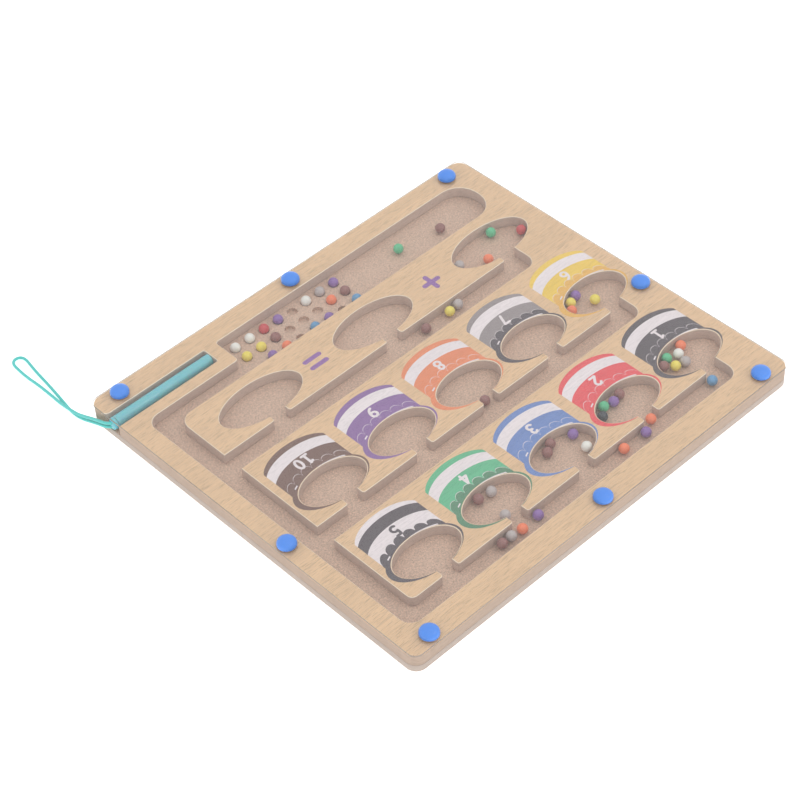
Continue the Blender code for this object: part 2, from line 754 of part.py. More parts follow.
def make_pen(parts, cutters):
    """The magnetic pen: barrel with a closed tip, magnet and end cap, on one sliding axis."""
    pen = bpy.data.objects.new("pen_axis", None)
    pen.location = (PEN_X, PEN_Y, PEN_Z)
    parts.objects.link(pen)
    radius = PEN_DIAMETER / 2
    bore = BARREL_BORE / 2
    magnet_radius = PLUG_DIAMETER / 2

    turns = [math.pi / 2 * step / DOME_STEPS for step in range(DOME_STEPS + 1)]
    nose = [
        (radius - TIP_CORNER * (1 - math.cos(t)), TIP_CORNER * (1 - math.sin(t))) for t in turns
    ]
    inner = [(0, TIP_LENGTH), (bore, TIP_LENGTH), (bore, BARREL_LENGTH)]
    outer = [(radius, BARREL_LENGTH)] + nose + [(0, 0)]
    barrel = turned("pen_barrel", inner + outer, PEN_SEGMENTS, parts)
    barrel.data.materials.append(material("pen_blue", 0.25, alpha=0.8))
    along_pen(barrel, pen, 0)

    bar = [(0, MAGNET_LENGTH), (magnet_radius, MAGNET_LENGTH), (magnet_radius, 0), (0, 0)]
    magnet = turned("pen_magnet", bar, PEN_SEGMENTS, parts)
    magnet.data.materials.append(material("magnet", 0.35, 1.0))
    along_pen(magnet, pen, TIP_LENGTH + SEAT_GAP)

    make_end_cap(parts, cutters, pen)


def make_end_cap(parts, cutters, pen):
    """The pen's end cap: a stub in the bore, a flange and a dome with two cord holes."""
    radius = PEN_DIAMETER / 2
    plug = PLUG_DIAMETER / 2
    flange = PLUG_DEPTH + SEAT_GAP
    rim = flange + END_FLANGE_LENGTH
    turns = [math.pi / 2 * step / DOME_STEPS for step in range(DOME_STEPS)]
    crown = [(radius * math.sin(t), rim + END_DOME_LENGTH * math.cos(t)) for t in turns]
    profile = crown + [(radius, rim), (radius, flange), (plug, flange), (plug, 0), (0, 0)]
    cap = turned("pen_end_cap", profile, PEN_SEGMENTS, parts)
    cap.data.materials.append(material("pen_blue", 0.3))
    along_pen(cap, pen, BARREL_LENGTH + SEAT_GAP - flange)
    holes = bpy.data.collections.new("cord holes")
    cutters.children.link(holes)
    out = Vector((math.cos(CORD_HOLE_TURN), -math.sin(CORD_HOLE_TURN), 0))
    middle = Vector((PEN_LENGTH + END_DOME_LENGTH - CORD_HOLE_INSET, 0, 0))
    middle += out * (CORD_HOLE_REACH - CORD_HOLE_DEPTH) / 2
    width = CORD_DIAMETER + 2 * CORD_HOLE_CLEARANCE
    for number, level in enumerate((-1, 1)):
        name = f"cord_hole_cutter_{number}"
        ends = (-CORD_HOLE_DEPTH, CORD_HOLE_REACH)
        hole = as_cutter(cylinder(name, width, *ends, (0, 0), HOLE_SEGMENTS, holes))
        hole.parent = pen
        hole.rotation_euler = (0, math.pi / 2, -CORD_HOLE_TURN)
        hole.location = middle + Vector((0, 0, level * CORD_HOLE_SPACING / 2))
    cut(cap, holes)


def curve_through(points):
    """Points on a smooth curve through a route's own points."""
    route = [Vector(point) for point in points]
    ends = [2 * route[0] - route[1]] + route + [2 * route[-1] - route[-2]]
    line = []
    for before, start, end, after in zip(ends, ends[1:], ends[2:], ends[3:]):
        for step in range(ROUTE_SAMPLES):
            t = step / ROUTE_SAMPLES
            line.append(
                (
                    2 * start
                    + (end - before) * t
                    + (2 * before - 5 * start + 4 * end - after) * t**2
                    + (3 * start - before - 3 * end + after) * t**3
                )
                / 2
            )
    line.append(route[-1])
    return line


def evenly(line, step):
    """Points at even steps along a line."""
    lengths = [(b - a).length for a, b in zip(line, line[1:])]
    count = round(sum(lengths) / step)
    places = [line[0]]
    gone = 0
    for (a, b), length in zip(zip(line, line[1:]), lengths):
        while len(places) < count and gone + length >= sum(lengths) * len(places) / count:
            share = (sum(lengths) * len(places) / count - gone) / length
            places.append(a.lerp(b, share))
        gone += length
    return places + [line[-1]]


def make_lanyard(parts):
    """The lanyard: one cord from the end cap, round a long loop and back into the cap."""
    end_x = PEN_X + PEN_LENGTH + END_DOME_LENGTH
    route = [(end_x + x * MM, PEN_Y + y * MM, z * MM) for x, y, z in LANYARD_ROUTE]
    points = evenly(curve_through(route), CORD_STEP)
    curve = bpy.data.curves.new("lanyard_cord", "CURVE")
    curve.dimensions = "3D"
    curve.bevel_depth = CORD_DIAMETER / 2
    curve.bevel_resolution = CORD_BEVEL_RESOLUTION
    curve.use_fill_caps = True
    spline = curve.splines.new("POLY")
    spline.points.add(len(points) - 1)
    for point, place in zip(spline.points, points):
        point.co = (*place, 1)
    curve.materials.append(material("cord_blue", 0.7))
    add_object("lanyard_cord", curve, parts)


def in_ellipse(centre, length, width):
    """Keeps a bead's centre inside an elliptic pocket."""
    reach_x = length / 2 - BEAD_RADIUS - BEAD_GAP
    reach_y = width / 2 - BEAD_RADIUS - BEAD_GAP

    def keep(x, y):
        far = math.hypot((x - centre[0]) / reach_x, (y - centre[1]) / reach_y)
        ease = min(1, 1 / far) if far else 1
        return centre[0] + (x - centre[0]) * ease, centre[1] + (y - centre[1]) * ease

    return keep, reach_x, reach_y


def in_box(left, right, front, back):
    """Keeps a bead's centre inside a straight way."""
    edge = BEAD_RADIUS + BEAD_GAP

    def keep(x, y):
        return (
            min(max(x, left + edge), right - edge),
            min(max(y, front + edge), back - edge),
        )

    return keep, left + edge, right - edge, (front + back) / 2, (back - front) / 2 - edge


def pocket_beads(xs, y, length, width, shares):
    """Loose beads of a row of pockets."""
    beads = []
    for column, wanted in shares.items():
        keep, reach_x, reach_y = in_ellipse((xs[column], y), length, width)
        for colour, along, across in wanted:
            beads.append([colour, xs[column] + reach_x * along, y + reach_y * across, keep])
    return beads


def channel_beads(left, right, front, back, shares):
    """Loose beads of a straight way."""
    keep, start, end, middle, half = in_box(left, right, front, back)
    return [
        [colour, start + (end - start) * along, middle + half * across, keep]
        for colour, along, across in shares
    ]


def neck_beads():
    """Loose beads on their way through a neck."""
    rows = {
        "upper": (UPPER_STRIP_TOP, OUTER_TOP, UPPER_POCKET_Y),
        "lower": (LOWER_STRIP_TOP, MIDDLE_CHANNEL_TOP, LOWER_POCKET_Y),
    }
    beads = []
    for row, column, colour, across, along in NECK_BEAD_SHARES:
        strip_top, channel_top, pocket_y = rows[row]
        x = POCKET_XS[column]
        low = strip_top - NECK_LENGTH
        keep, _, _, _, _ = in_box(x - NECK_WIDTH / 2, x + NECK_WIDTH / 2, pocket_y, channel_top)
        half = NECK_WIDTH / 2 - BEAD_RADIUS - BEAD_GAP
        beads.append([colour, x + half * across, low + NECK_LENGTH * along, keep])
    return beads


def settled(beads):
    """Push beads that meet apart, and back inside their walls, until they lie clear."""
    need = BEAD_DIAMETER + BEAD_GAP
    for _ in range(SETTLE_ROUNDS):
        for number, one in enumerate(beads):
            for other in beads[number + 1 :]:
                apart = Vector((other[1] - one[1], other[2] - one[2]))
                short = need - apart.length
                if short > 0 and apart.length > 0:
                    push = apart.normalized() * short / 2
                    one[1:3] = one[1] - push.x, one[2] - push.y
                    other[1:3] = other[1] + push.x, other[2] + push.y
        for bead in beads:
            bead[1:3] = bead[3](bead[1], bead[2])
    return [(colour, x, y) for colour, x, y, _ in beads]


def loose_beads():
    """Colour and place of every loose bead."""
    upper = pocket_beads(
        POCKET_XS, UPPER_POCKET_Y, POCKET_LENGTH, POCKET_WIDTH, UPPER_BEAD_SHARES
    )
    lower = pocket_beads(
        POCKET_XS, LOWER_POCKET_Y, POCKET_LENGTH, POCKET_WIDTH, LOWER_BEAD_SHARES
    )
    added = pocket_beads(
        sum_pocket_xs(), SUM_POCKET_Y, SUM_POCKET_LENGTH, SUM_POCKET_WIDTH, SUM_BEAD_SHARES
    )
    outer = channel_beads(
        CHANNEL_LEFT_X, SIDE_X, UPPER_STRIP_TOP, OUTER_TOP, OUTER_BEAD_SHARES
    )
    inner = channel_beads(
        sum_channel_left(), SIDE_X, SUM_STRIP_TOP, SUM_CHANNEL_TOP, SUM_CHANNEL_BEAD_SHARES
    )
    tray = channel_beads(
        TRAY_LEFT_X, TRAY_RIGHT_X, TRAY_BOTTOM, TRAY_TOP, TRAY_BEAD_SHARES
    )
    return settled(outer + upper + lower + neck_beads() + inner + added + tray)


def bead_mesh(colour):
    """A painted steel ball."""
    name = colour + " bead"
    if name in bpy.data.meshes:
        return bpy.data.meshes[name]
    ball = bmesh.new()
    bmesh.ops.create_icosphere(ball, subdivisions=BEAD_SUBDIVISIONS, radius=BEAD_RADIUS)
    mesh = bpy.data.meshes.new(name)
    ball.to_mesh(mesh)
    ball.free()
    mesh.materials.append(material(colour, 0.45))
    mesh.shade_smooth()
    return mesh


def make_beads(parts):
    """Every loose and every parked bead as its own piece, numbered within its colour."""
    counted = {}
    for colour, x, y in loose_beads():
        counted[colour] = counted.get(colour, 0) + 1
        name = f"{colour}_bead_{counted[colour]}"
        add_object(name, bead_mesh(colour), parts, (x, y, BEAD_Z))
    for row, column, colour in PARKED_BEADS:
        name = f"parked_{colour}_bead_{column + 1}"
        add_object(name, bead_mesh(colour), parts, (*dimple_place(row, column), PARKED_Z))


def main():
    """Build the board."""
    clear_scene()
    parts = new_collection("magnetic maze board")
    cutters = new_collection("cutters")
    make_base(parts, cutters)
    make_plate(parts, cutters)
    make_cover(parts, cutters)
    make_screws(parts)
    make_pen(parts, cutters)
    make_lanyard(parts)
    make_beads(parts)


main()
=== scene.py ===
"""Magnetic maze board, dressed for its picture: a routed beech plate on a fibreboard base, under
a clear cover held by blue domed screws, with enamelled beads in its channels, pockets and
dimples, and a pen magnet on a lanyard in its slot. Lengths are in metres, in the frame's axes.
"""

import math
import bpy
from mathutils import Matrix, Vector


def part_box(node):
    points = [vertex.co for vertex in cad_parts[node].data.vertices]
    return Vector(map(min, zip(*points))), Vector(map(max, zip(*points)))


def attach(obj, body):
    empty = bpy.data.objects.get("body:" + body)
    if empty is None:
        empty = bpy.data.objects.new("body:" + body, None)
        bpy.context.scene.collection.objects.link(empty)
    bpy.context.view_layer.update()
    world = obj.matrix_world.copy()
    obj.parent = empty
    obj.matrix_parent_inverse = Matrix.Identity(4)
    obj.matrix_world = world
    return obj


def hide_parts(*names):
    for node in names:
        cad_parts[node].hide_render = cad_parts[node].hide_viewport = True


bl_info = {
    "name": "Magnetic maze board",
    "version": (1, 0, 0),
    "blender": (4, 5, 0),
    "location": "3D View > Sidebar > Maze",
    "description": "Dresses the packed maze board: wood, prints, cover, screws, beads and pen",
    "category": "Object",
}

import bmesh
import bpy
from bpy.props import FloatProperty, FloatVectorProperty, IntProperty, PointerProperty
from mathutils import Euler, Matrix, Vector, noise

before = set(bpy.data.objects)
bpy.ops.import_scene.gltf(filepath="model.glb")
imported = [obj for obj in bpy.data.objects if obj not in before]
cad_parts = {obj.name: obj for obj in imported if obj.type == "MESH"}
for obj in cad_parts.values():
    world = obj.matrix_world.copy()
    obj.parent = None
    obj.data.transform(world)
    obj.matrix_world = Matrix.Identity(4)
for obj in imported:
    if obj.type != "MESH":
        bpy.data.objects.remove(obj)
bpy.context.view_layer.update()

MM = 0.001
BODY_OF_BOARD = "board"
BODY_OF_PEN = "pen"

# Heights of the layers, read from the frame
BASE_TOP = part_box("base_board")[1][2]
PLATE_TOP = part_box("maze_plate")[1][2]
COVER_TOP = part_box("clear_cover")[1][2]
BEAD_RADIUS = (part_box("red_bead_1")[1][2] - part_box("red_bead_1")[0][2]) / 2
PARKED_HEIGHT = (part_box("parked_red_bead_6")[0][2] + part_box("parked_red_bead_6")[1][2]) / 2

# Outline of the board: its half sizes and its corner radius
HALF_BOARD = (150.0 * MM, 135.0 * MM)
BOARD_CORNER = 7.2 * MM

# Merging of a CAD mesh, and how its edges and faces are told apart: by their sharpness, their
# distance from the outline or from a level, and the rise of their normal
MERGE_DISTANCE = 0.03 * MM
FLAT_ANGLE = math.radians(0.3)
SHARP_ANGLE = math.radians(50)
AT_OUTLINE = 0.2 * MM
NEAR_OUTLINE = 0.5 * MM
AT_LEVEL = 0.1 * MM
UPRIGHT = 0.5
FACING_UP = 0.9

# Camera of the picture, its lamps and its floor: widths and places in metres, power in watts
CAMERA_PLACE = (0.64729, 0.70187, 0.95988)
CAMERA_RIGHT = (-0.72078, 0.69177, -0.04388)
CAMERA_UP = (-0.51333, -0.49018, 0.70442)
CAMERA_BACK = (0.46580, 0.53026, 0.70842)
CAMERA_LENS = 105.375
SOFTBOX_SIZE = 2.4
SOFTBOX_POWER = 5
SOFTBOX_PLACE = (-0.3, 0.5, 2.2)
HIGHLIGHT_SIZE = 0.2
HIGHLIGHT_POWER = 2
HIGHLIGHT_PLACE = (-0.9, 1.05, 1.55)
FLOOR_LEVEL = -0.3 * MM

# Grain of wood and board: size of the tone bands and height of the fibres, in millimetres, and
# how strongly each pattern shows
BAND_CELL = (90, 14, 14)
BAND_SHARE = 0.45
TONE_RANGE = (0.5, 0.95)
RAY_RANGE = (0.54, 0.68)
SPECK_RANGE = (0.3, 0.7)
FIBRE_RELIEF = 0.05

# A metal keeps the shader's default IOR
METAL = {"Metallic": 1, "IOR": 1.5}

# Pockets: the places of the can prints round them, half sizes of pocket and neck in millimetres,
# and the inks of each can's body, upper part and band, in reading order
POCKET_XS = [x * MM for x in (-118.5, -65.4, -12.3, 40.8, 93.9)]
POCKET_YS = (85.9 * MM, 11.7 * MM)
POCKET_HALF = (22.7, 13.7)
NECK_HALF = 5.8
CAN_INKS = (
    ("black", "black", "white"),
    ("red", "red", "white"),
    ("blue", "blue", "white"),
    ("green", "dark_green", "white"),
    ("white", "black", "black"),
    ("yellow", "amber", "white"),
    ("gray", "black", "white"),
    ("orange", "orange", "white"),
    ("purple", "purple", "white"),
    ("brown", "brown", "white"),
)

# One can print, from the middle of its pocket, in millimetres
RIM_CENTRE = (1.2, -0.2)
RIM_HALF = (25.7, 14.4)
CAN_CENTRE = 1.2
CAN_HALF = 22.5
LEVEL_HALF = (25.9, 13.6)
FOOT_HALF = (24.4, 13.6)
SCALLOP_LEVEL = -15.8
SCALLOP_DROP = 3.6
SCALLOPS = 6
SCALLOP_LINE = 0.3
SCALLOP_STEPS = 10
BAND_LEVELS = (-27.8, -35.6)
FOOT_LEVEL = -39.5
NUMERAL_PLACE = (1.6, -22.7)
NUMERAL_STROKE = 1.6
DIGIT_PITCH = 6.2
SHINE_LEVEL = -14.1
SHINE_SPANS = ((-18.0, -1.3, 0.95, 0.25), (16.2, 19.0, 0.9, 0.9))
EDGE_MARGIN = 0.5
PRINT_HEIGHT = 0.05
PRINT_SINK = 0.01
INK_LAYER = 0.004

# Signs between the sum pockets: middle of each, half length and half width of a bar
PLUS_PLACE = (-57.6, -65.5)
EQUALS_PLACE = (36.3, -65.7)
SIGN_HALF_LENGTH = 6.9
SIGN_HALF_WIDTH = 1.55
EQUALS_SPACING = 3.3

# Domed screws, and the beads that stay parked: places in millimetres
SCREW_PLACES = [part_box(f"domed_screw_{number + 1}") for number in range(8)]
HEAD_GAP = 0.3
CAP_SKIRT_SHARE = 0.25
SHANK_RADIUS = 1.4
SHANK_FOOT = 1.0
SHANK_POINT = 2.0
THREAD_ROOT_SHARE = 0.8
FULL_TURN = 6.28
LAST_DIMPLE = (57.66, -113.43)
DIMPLE_PITCH = (11.25, 10.5)
LAST_COLUMN = 7
DIMPLES_BACK = -86.5
TRAY_EDGE = 12.0
STAYING_BEADS = {
    "white": ((0, 7),),
    "brown": ((1, 0), (1, 5)),
    "orange": ((1, 1), (2, 5)),
    "yellow": ((1, 6), (1, 7)),
    "blue": ((2, 0), (2, 3)),
    "purple": ((2, 2), (2, 6)),
}

# Lanyard: the end face and axis of the pen, and the route of the source, in millimetres
PEN_END_FACE = 150.6
PEN_AXIS_Y = -114.88
CORD_DIAMETER = 1.9
CORD_STEP = 2.4
ROUTE_SAMPLES = 24
BRAID_STEP = 0.3
BRAID_SIDES = 24
BRAID_STRANDS = 4
BRAID_RELIEF_SHARE = 0.025
LANYARD_ROUTE = (
    (-1.6, 0.6, 10.1), (-0.4, -0.6, 10.1), (0.7, -1.8, 10.0), (1.4, -3.3, 9.7),
    (1.8, -5.4, 9.1), (2.2, -9.3, 8.0), (2.9, -14.2, 6.7), (3.8, -19.5, 5.2),
    (4.7, -25.0, 3.9), (5.1, -30.7, 3.1), (5.3, -36.3, 2.5), (5.1, -42.8, 1.6),
    (4.7, -49.7, 1.0), (4.6, -62.0, 1.0), (5.1, -72.1, 1.0), (5.1, -78.7, 1.0),
    (4.8, -83.6, 1.0), (4.4, -87.4, 1.0), (3.4, -89.6, 1.0), (1.6, -91.0, 1.0),
    (-0.8, -91.0, 1.0), (-2.6, -89.6, 1.0), (-3.3, -87.3, 1.0), (-3.1, -84.0, 1.0),
    (-2.3, -79.4, 1.0), (-1.1, -71.7, 1.0), (0.0, -62.6, 1.0), (1.2, -53.8, 1.0),
    (2.4, -45.9, 1.0), (3.5, -39.1, 1.0), (4.4, -32.4, 1.0), (4.5, -26.3, 1.2),
    (3.9, -20.3, 2.2), (3.1, -14.7, 3.8), (2.4, -9.3, 5.4), (1.9, -5.4, 6.4),
    (1.5, -3.3, 6.9), (0.7, -1.8, 7.1), (-0.4, -0.6, 7.1), (-1.6, 0.6, 7.1),
)


def even_steps(start, end, count):
    """Values at even distances from start to end, both among them."""
    return [start + (end - start) * step / count for step in range(count + 1)]


def linear(code):
    """The linear colour of an sRGB hex code."""
    parts = [int(code[start : start + 2], 16) / 255 for start in (0, 2, 4)]
    return [part / 12.92 if part <= 0.04045 else ((part + 0.055) / 1.055) ** 2.4 for part in parts]


def paint(name, code, description):
    """A colour that a user may change."""
    look = {"subtype": "COLOR", "size": 3, "min": 0, "max": 1}
    return FloatVectorProperty(name=name, description=description, default=linear(code), **look)


def bead_paint(name, code):
    """The enamel of the beads of one colour."""
    return paint(name, code, f"Enamel of the {name.lower()} beads")


def can_ink(name, code):
    """The ink of one can."""
    return paint(f"{name} ink", code, f"Ink of the {name.lower()} can")


def size(name, millimetres, description):
    """A length that a user may change."""
    look = {"unit": "LENGTH", "subtype": "DISTANCE", "min": 0}
    return FloatProperty(name=name, description=description, default=millimetres * MM, **look)


class MazeSizes(bpy.types.PropertyGroup):
    """Sizes of the finish. The frame sets the sizes of the object itself."""

    # The routed edge's pale colour is partly fresh fibres and partly a painted highlight
    routed_edge: size("Routed edge", 0.28, "Width of the pale broken edge along each routed wall")
    board_edge: size("Board edge", 0.25, "Rounding of the wooden boards' outer edges")
    cover_edge: size("Cover edge", 0.15, "Polished bevel round the clear cover")
    dimple_edge: size("Dimple edge", 0.25, "Pale broken edge round each dimple")
    cap_rim: size("Cap rim", 0.5, "Rounding where a cap's skirt meets its dome")
    thread_pitch: size("Thread pitch", 1.1, "Distance between two threads of a screw")
    braid_pitch: size("Braid pitch", 2.4, "Length of one turn of the lanyard's braid")
    bead_ripple: size("Bead ripple", 0.02, "Height of the soft ripples in a bead's enamel")
    seed: IntProperty(name="Seed", description="Turns the parked beads and the screws", default=7)


class MazePaints(bpy.types.PropertyGroup):
    """Enamels of the beads, and the plastics."""

    white: bead_paint("White", "e7e3df")
    red: bead_paint("Red", "c8474d")
    purple: bead_paint("Purple", "8a64a8")
    gray: bead_paint("Gray", "b5a9a9")
    yellow: bead_paint("Yellow", "e9d45c")
    brown: bead_paint("Brown", "91615e")
    orange: bead_paint("Orange", "f17e58")
    blue: bead_paint("Blue", "6598c5")
    green: bead_paint("Green", "5bb88a")
    black: bead_paint("Black", "3e4148")
    cap: paint("Cap", "568de4", "Plastic of the screws' caps")
    pen: paint("Pen", "70bcc8", "Plastic of the pen")
    lanyard: paint("Lanyard", "62ccc6", "Yarn of the lanyard")


class MazeInks(bpy.types.PropertyGroup):
    """Inks on the veneer, and the woods."""

    black_ink: can_ink("Black", "5d535a")
    red_ink: can_ink("Red", "e3535b")
    blue_ink: can_ink("Blue", "6d85bf")
    green_ink: can_ink("Green", "60b38a")
    dark_green_ink: paint("Dark green ink", "5b886d", "Ink above the green can's scallops")
    white_ink: paint("White ink", "e5d8dd", "Ink of the bands and numerals")
    yellow_ink: can_ink("Yellow", "e9c256")
    amber_ink: paint("Amber ink", "e3ae5a", "Ink above the yellow can's scallops")
    gray_ink: can_ink("Gray", "95898c")
    orange_ink: can_ink("Orange", "e38661")
    purple_ink: can_ink("Purple", "8b669f")
    brown_ink: can_ink("Brown", "795a53")
    sign_ink: paint("Sign ink", "8f63a5", "Ink of the plus and equals signs")
    veneer: paint("Veneer", "ddb793", "Sanded beech veneer on the maze plate")
    fibreboard: paint("Fibreboard", "c8a896", "Smooth face of the base board")
    core: paint("Core", "c5aca0", "Routed walls of the maze plate")


# Nodes and materials


def add_node(tree, kind, inputs=None, **settings):
    """A node with its settings, and its inputs set to values or linked to other nodes' outputs."""
    made = tree.nodes.new(kind)
    for name, value in settings.items():
        setattr(made, name, value)
    for name, value in (inputs or {}).items():
        if isinstance(value, bpy.types.NodeSocket):
            tree.links.new(value, made.inputs[name])
        else:
            made.inputs[name].default_value = value
    return made


def surface(name, **steady):
    """A material with a Principled shader, and its place on the piece. Steady values are set on
    the shader's own sockets."""
    made = bpy.data.materials.new(name)
    made.use_nodes = True
    tree = made.node_tree
    shader = tree.nodes["Principled BSDF"]
    for socket, value in steady.items():
        shader.inputs[socket.replace("_", " ")].default_value = value
    place = add_node(tree, "ShaderNodeTexCoord").outputs["Object"]
    return made, tree, shader, place


def darker(colour, share):
    """This colour with its brightness times a share, opaque."""
    return [part * share for part in colour[:3]] + [1]


def grains(tree, place, lengths, detail=2, roughness=0.5):
    """Noise whose cells have these lengths, in millimetres."""
    scale = [1000 / length for length in lengths]
    scaled = add_node(tree, "ShaderNodeMapping", {"Vector": place, "Scale": scale})
    settings = {"Vector": scaled.outputs[0], "Scale": 1, "Detail": detail, "Roughness": roughness}
    return add_node(tree, "ShaderNodeTexNoise", settings).outputs["Fac"]


def toned(tree, value, span, colour, low, high):
    """A colour whose brightness goes from one share to another while a value crosses a span."""
    settings = {"Value": value, "From Min": span[0], "From Max": span[1]}
    share = add_node(tree, "ShaderNodeMapRange", settings).outputs[0]
    sides = {0: share, 6: darker(colour, low), 7: darker(colour, high)}
    return add_node(tree, "ShaderNodeMix", sides, data_type="RGBA").outputs[2]


def painted(tree, shader, colour, relief, strength, height):
    """Gives the shader its colour, and a relief of this height in metres."""
    settings = {"Height": relief, "Strength": strength, "Distance": height}
    bump = add_node(tree, "ShaderNodeBump", settings)
    tree.links.new(colour, shader.inputs["Base Color"])
    tree.links.new(bump.outputs[0], shader.inputs["Normal"])


def woody(name, colour, streak, ray, depth, dark, roughness):
    """Wood or board cut along X: broad tone bands, fine streaks and short darker rays. streak and
    ray are the lengths and widths of those, in millimetres."""
    made, tree, shader, place = surface(name, Roughness=roughness, IOR=1.45)
    bands = grains(tree, place, BAND_CELL)
    streaks = grains(tree, place, streak, 3)
    parts = {0: bands, 1: BAND_SHARE, 2: streaks}
    tone = add_node(tree, "ShaderNodeMath", parts, operation="MULTIPLY_ADD").outputs[0]
    ground = toned(tree, tone, TONE_RANGE, colour, 1 - depth, 1 + depth)
    rays = grains(tree, place, ray, 1)
    settings = {"Value": rays, "From Min": RAY_RANGE[0], "From Max": RAY_RANGE[1]}
    share = add_node(tree, "ShaderNodeMapRange", settings, interpolation_type="SMOOTHSTEP")
    sides = {0: share.outputs[0], 6: ground, 7: darker(colour, dark)}
    rayed = add_node(tree, "ShaderNodeMix", sides, data_type="RGBA").outputs[2]
    painted(tree, shader, rayed, streaks, 0.25, FIBRE_RELIEF * MM)
    return made


def speckled(name, colour, grain, depth, roughness, relief=FIBRE_RELIEF, **steady):
    """Pressed, painted, moulded or plated stuff with grains of this size, in millimetres, in its
    tone. Steady values are the shader's own."""
    made, tree, shader, place = surface(name, Roughness=roughness, **{"IOR": 1.48, **steady})
    specks = grains(tree, place, (grain, grain, grain), 4, 0.65)
    ground = toned(tree, specks, SPECK_RANGE, colour, 1 - depth, 1 + depth)
    painted(tree, shader, ground, specks, 0.3, relief * MM)
    return made


def carries_light(tree):
    """Whether a ray is on its way between a lamp and the wood, and isn't seen itself."""
    rays = add_node(tree, "ShaderNodeLightPath").outputs
    sides = {0: rays["Is Shadow Ray"], 1: rays["Is Diffuse Ray"]}
    return add_node(tree, "ShaderNodeMath", sides, operation="MAXIMUM").outputs[0]


def clear_acrylic():
    # Cast acrylic sheet, 1.2 mm, factory polished: nearly unseen, it lifts what lies under it a
    # little and lays a thin even shine of the surroundings over the wood. Lamps reach the wood
    # straight through it
    made, tree, shader, place = surface(
        "cast_acrylic_polished", IOR=1.49, Transmission_Weight=1.0, Base_Color=(0.99, 1, 0.99, 1)
    )
    wipes = grains(tree, place, (60, 9, 9))
    settings = {"Value": wipes, "From Min": 0.4, "From Max": 0.7, "To Min": 0, "To Max": 0.03}
    haze = add_node(tree, "ShaderNodeMapRange", settings)
    tree.links.new(haze.outputs[0], shader.inputs["Roughness"])
    through = add_node(tree, "ShaderNodeBsdfTransparent", {"Color": (0.95, 0.96, 0.95, 1)})
    sides = {0: carries_light(tree), 1: shader.outputs[0], 2: through.outputs[0]}
    both = add_node(tree, "ShaderNodeMixShader", sides)
    tree.links.new(both.outputs[0], tree.nodes["Material Output"].inputs["Surface"])
    return made


def acrylic_edge():
    # The sheet's edge, sawn and left unpolished. Its gray-brown colour is painted shade: looking
    # along the sheet the eye meets little light in it, so the edge is drawn as a thin dark line
    # between the pale edges of cover and plate
    made, tree, shader, place = surface(
        "cast_acrylic_edge", Roughness=0.3, IOR=1.49, Base_Color=[*linear("95897f"), 1]
    )
    saw = grains(tree, place, (0.8, 0.8, 6))
    settings = {"Value": saw, "From Min": 0.3, "From Max": 0.7, "To Min": 0.8, "To Max": 0.95}
    frost = add_node(tree, "ShaderNodeMapRange", settings)
    seen = add_node(tree, "ShaderNodeMath", {0: 1, 1: carries_light(tree)}, operation="SUBTRACT")
    sides = {0: frost.outputs[0], 1: seen.outputs[0]}
    solid = add_node(tree, "ShaderNodeMath", sides, operation="MULTIPLY")
    tree.links.new(solid.outputs[0], shader.inputs["Alpha"])
    return made


def braided_yarn(colour):
    # Tubular braid of polyester yarn: two sets of strands that cross, with a soft sheen. Its colour
    # is darker in the gaps between strands as painted shade, and lighter on each crown as a painted
    # highlight. It follows the cord by the cord's own map
    made, tree, shader, _ = surface("polyester_braid", Roughness=0.75, IOR=1.5, Sheen_Weight=0.3)
    lay = add_node(tree, "ShaderNodeUVMap", uv_map="lay")
    parts = add_node(tree, "ShaderNodeSeparateXYZ", {0: lay.outputs[0]}).outputs
    waves = []
    for hand in (1, -1):
        wave = parts["Y"]
        for operation, others in (
            ("MULTIPLY_ADD", {1: hand, 2: parts["X"]}),
            ("MULTIPLY", {1: 2 * BRAID_STRANDS * math.pi}),
            ("SINE", {}),
        ):
            sides = {0: wave, **others}
            wave = add_node(tree, "ShaderNodeMath", sides, operation=operation).outputs[0]
        waves.append(wave)
    sides = {0: waves[0], 1: waves[1]}
    crown = add_node(tree, "ShaderNodeMath", sides, operation="MULTIPLY").outputs[0]
    # Painted shade in the gaps between strands, painted highlight on each crown
    tone = toned(tree, crown, (-1, 1), colour, 0.82, 1.1)
    painted(tree, shader, tone, crown, 0.5, 0.06 * MM)
    return made


# Meshes


def new_piece(name, mesh, materials, smooth_angle=None):
    """A piece at the origin with this mesh, shaded smooth up to an angle in degrees."""
    made = bpy.data.objects.new(name, mesh)
    bpy.context.scene.collection.objects.link(made)
    for finish in materials:
        mesh.materials.append(finish)
    if smooth_angle:
        mesh.shade_smooth()
        mesh.set_sharp_from_angle(angle=math.radians(smooth_angle))
    return made


def merged_copy(node):
    """A bmesh of a CAD node, its loose triangles merged and its flat faces made whole."""
    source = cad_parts[node].data
    mesh = bmesh.new()
    corners = [mesh.verts.new(vertex.co) for vertex in source.vertices]
    for face in source.polygons:
        mesh.faces.new([corners[index] for index in face.vertices])
    bmesh.ops.remove_doubles(mesh, verts=mesh.verts, dist=MERGE_DISTANCE)
    bmesh.ops.dissolve_limit(mesh, angle_limit=FLAT_ANGLE, verts=mesh.verts, edges=mesh.edges)
    mesh.normal_update()
    return mesh


def break_edges(mesh, chosen, width, finish, segments=1):
    """Bevels the sharp edges that chosen(edge) picks, with this material index on the bevel."""
    edges = [edge for edge in mesh.edges if edge.calc_face_angle(0) > SHARP_ANGLE and chosen(edge)]
    bmesh.ops.bevel(
        mesh,
        geom=edges,
        offset=width,
        offset_type="OFFSET",
        segments=segments,
        profile=0.5,
        affect="EDGES",
        clamp_overlap=False,
        material=finish,
    )
    mesh.normal_update()


def finished(mesh, name):
    """The mesh data of a bmesh, which is freed."""
    data = bpy.data.meshes.new(name)
    mesh.to_mesh(data)
    mesh.free()
    return data


def from_outline(point):
    """How far a point lies inside the board's outline, in plan."""
    reach = [max(abs(point[axis]) - HALF_BOARD[axis] + BOARD_CORNER, 0) for axis in (0, 1)]
    return BOARD_CORNER - math.hypot(*reach)


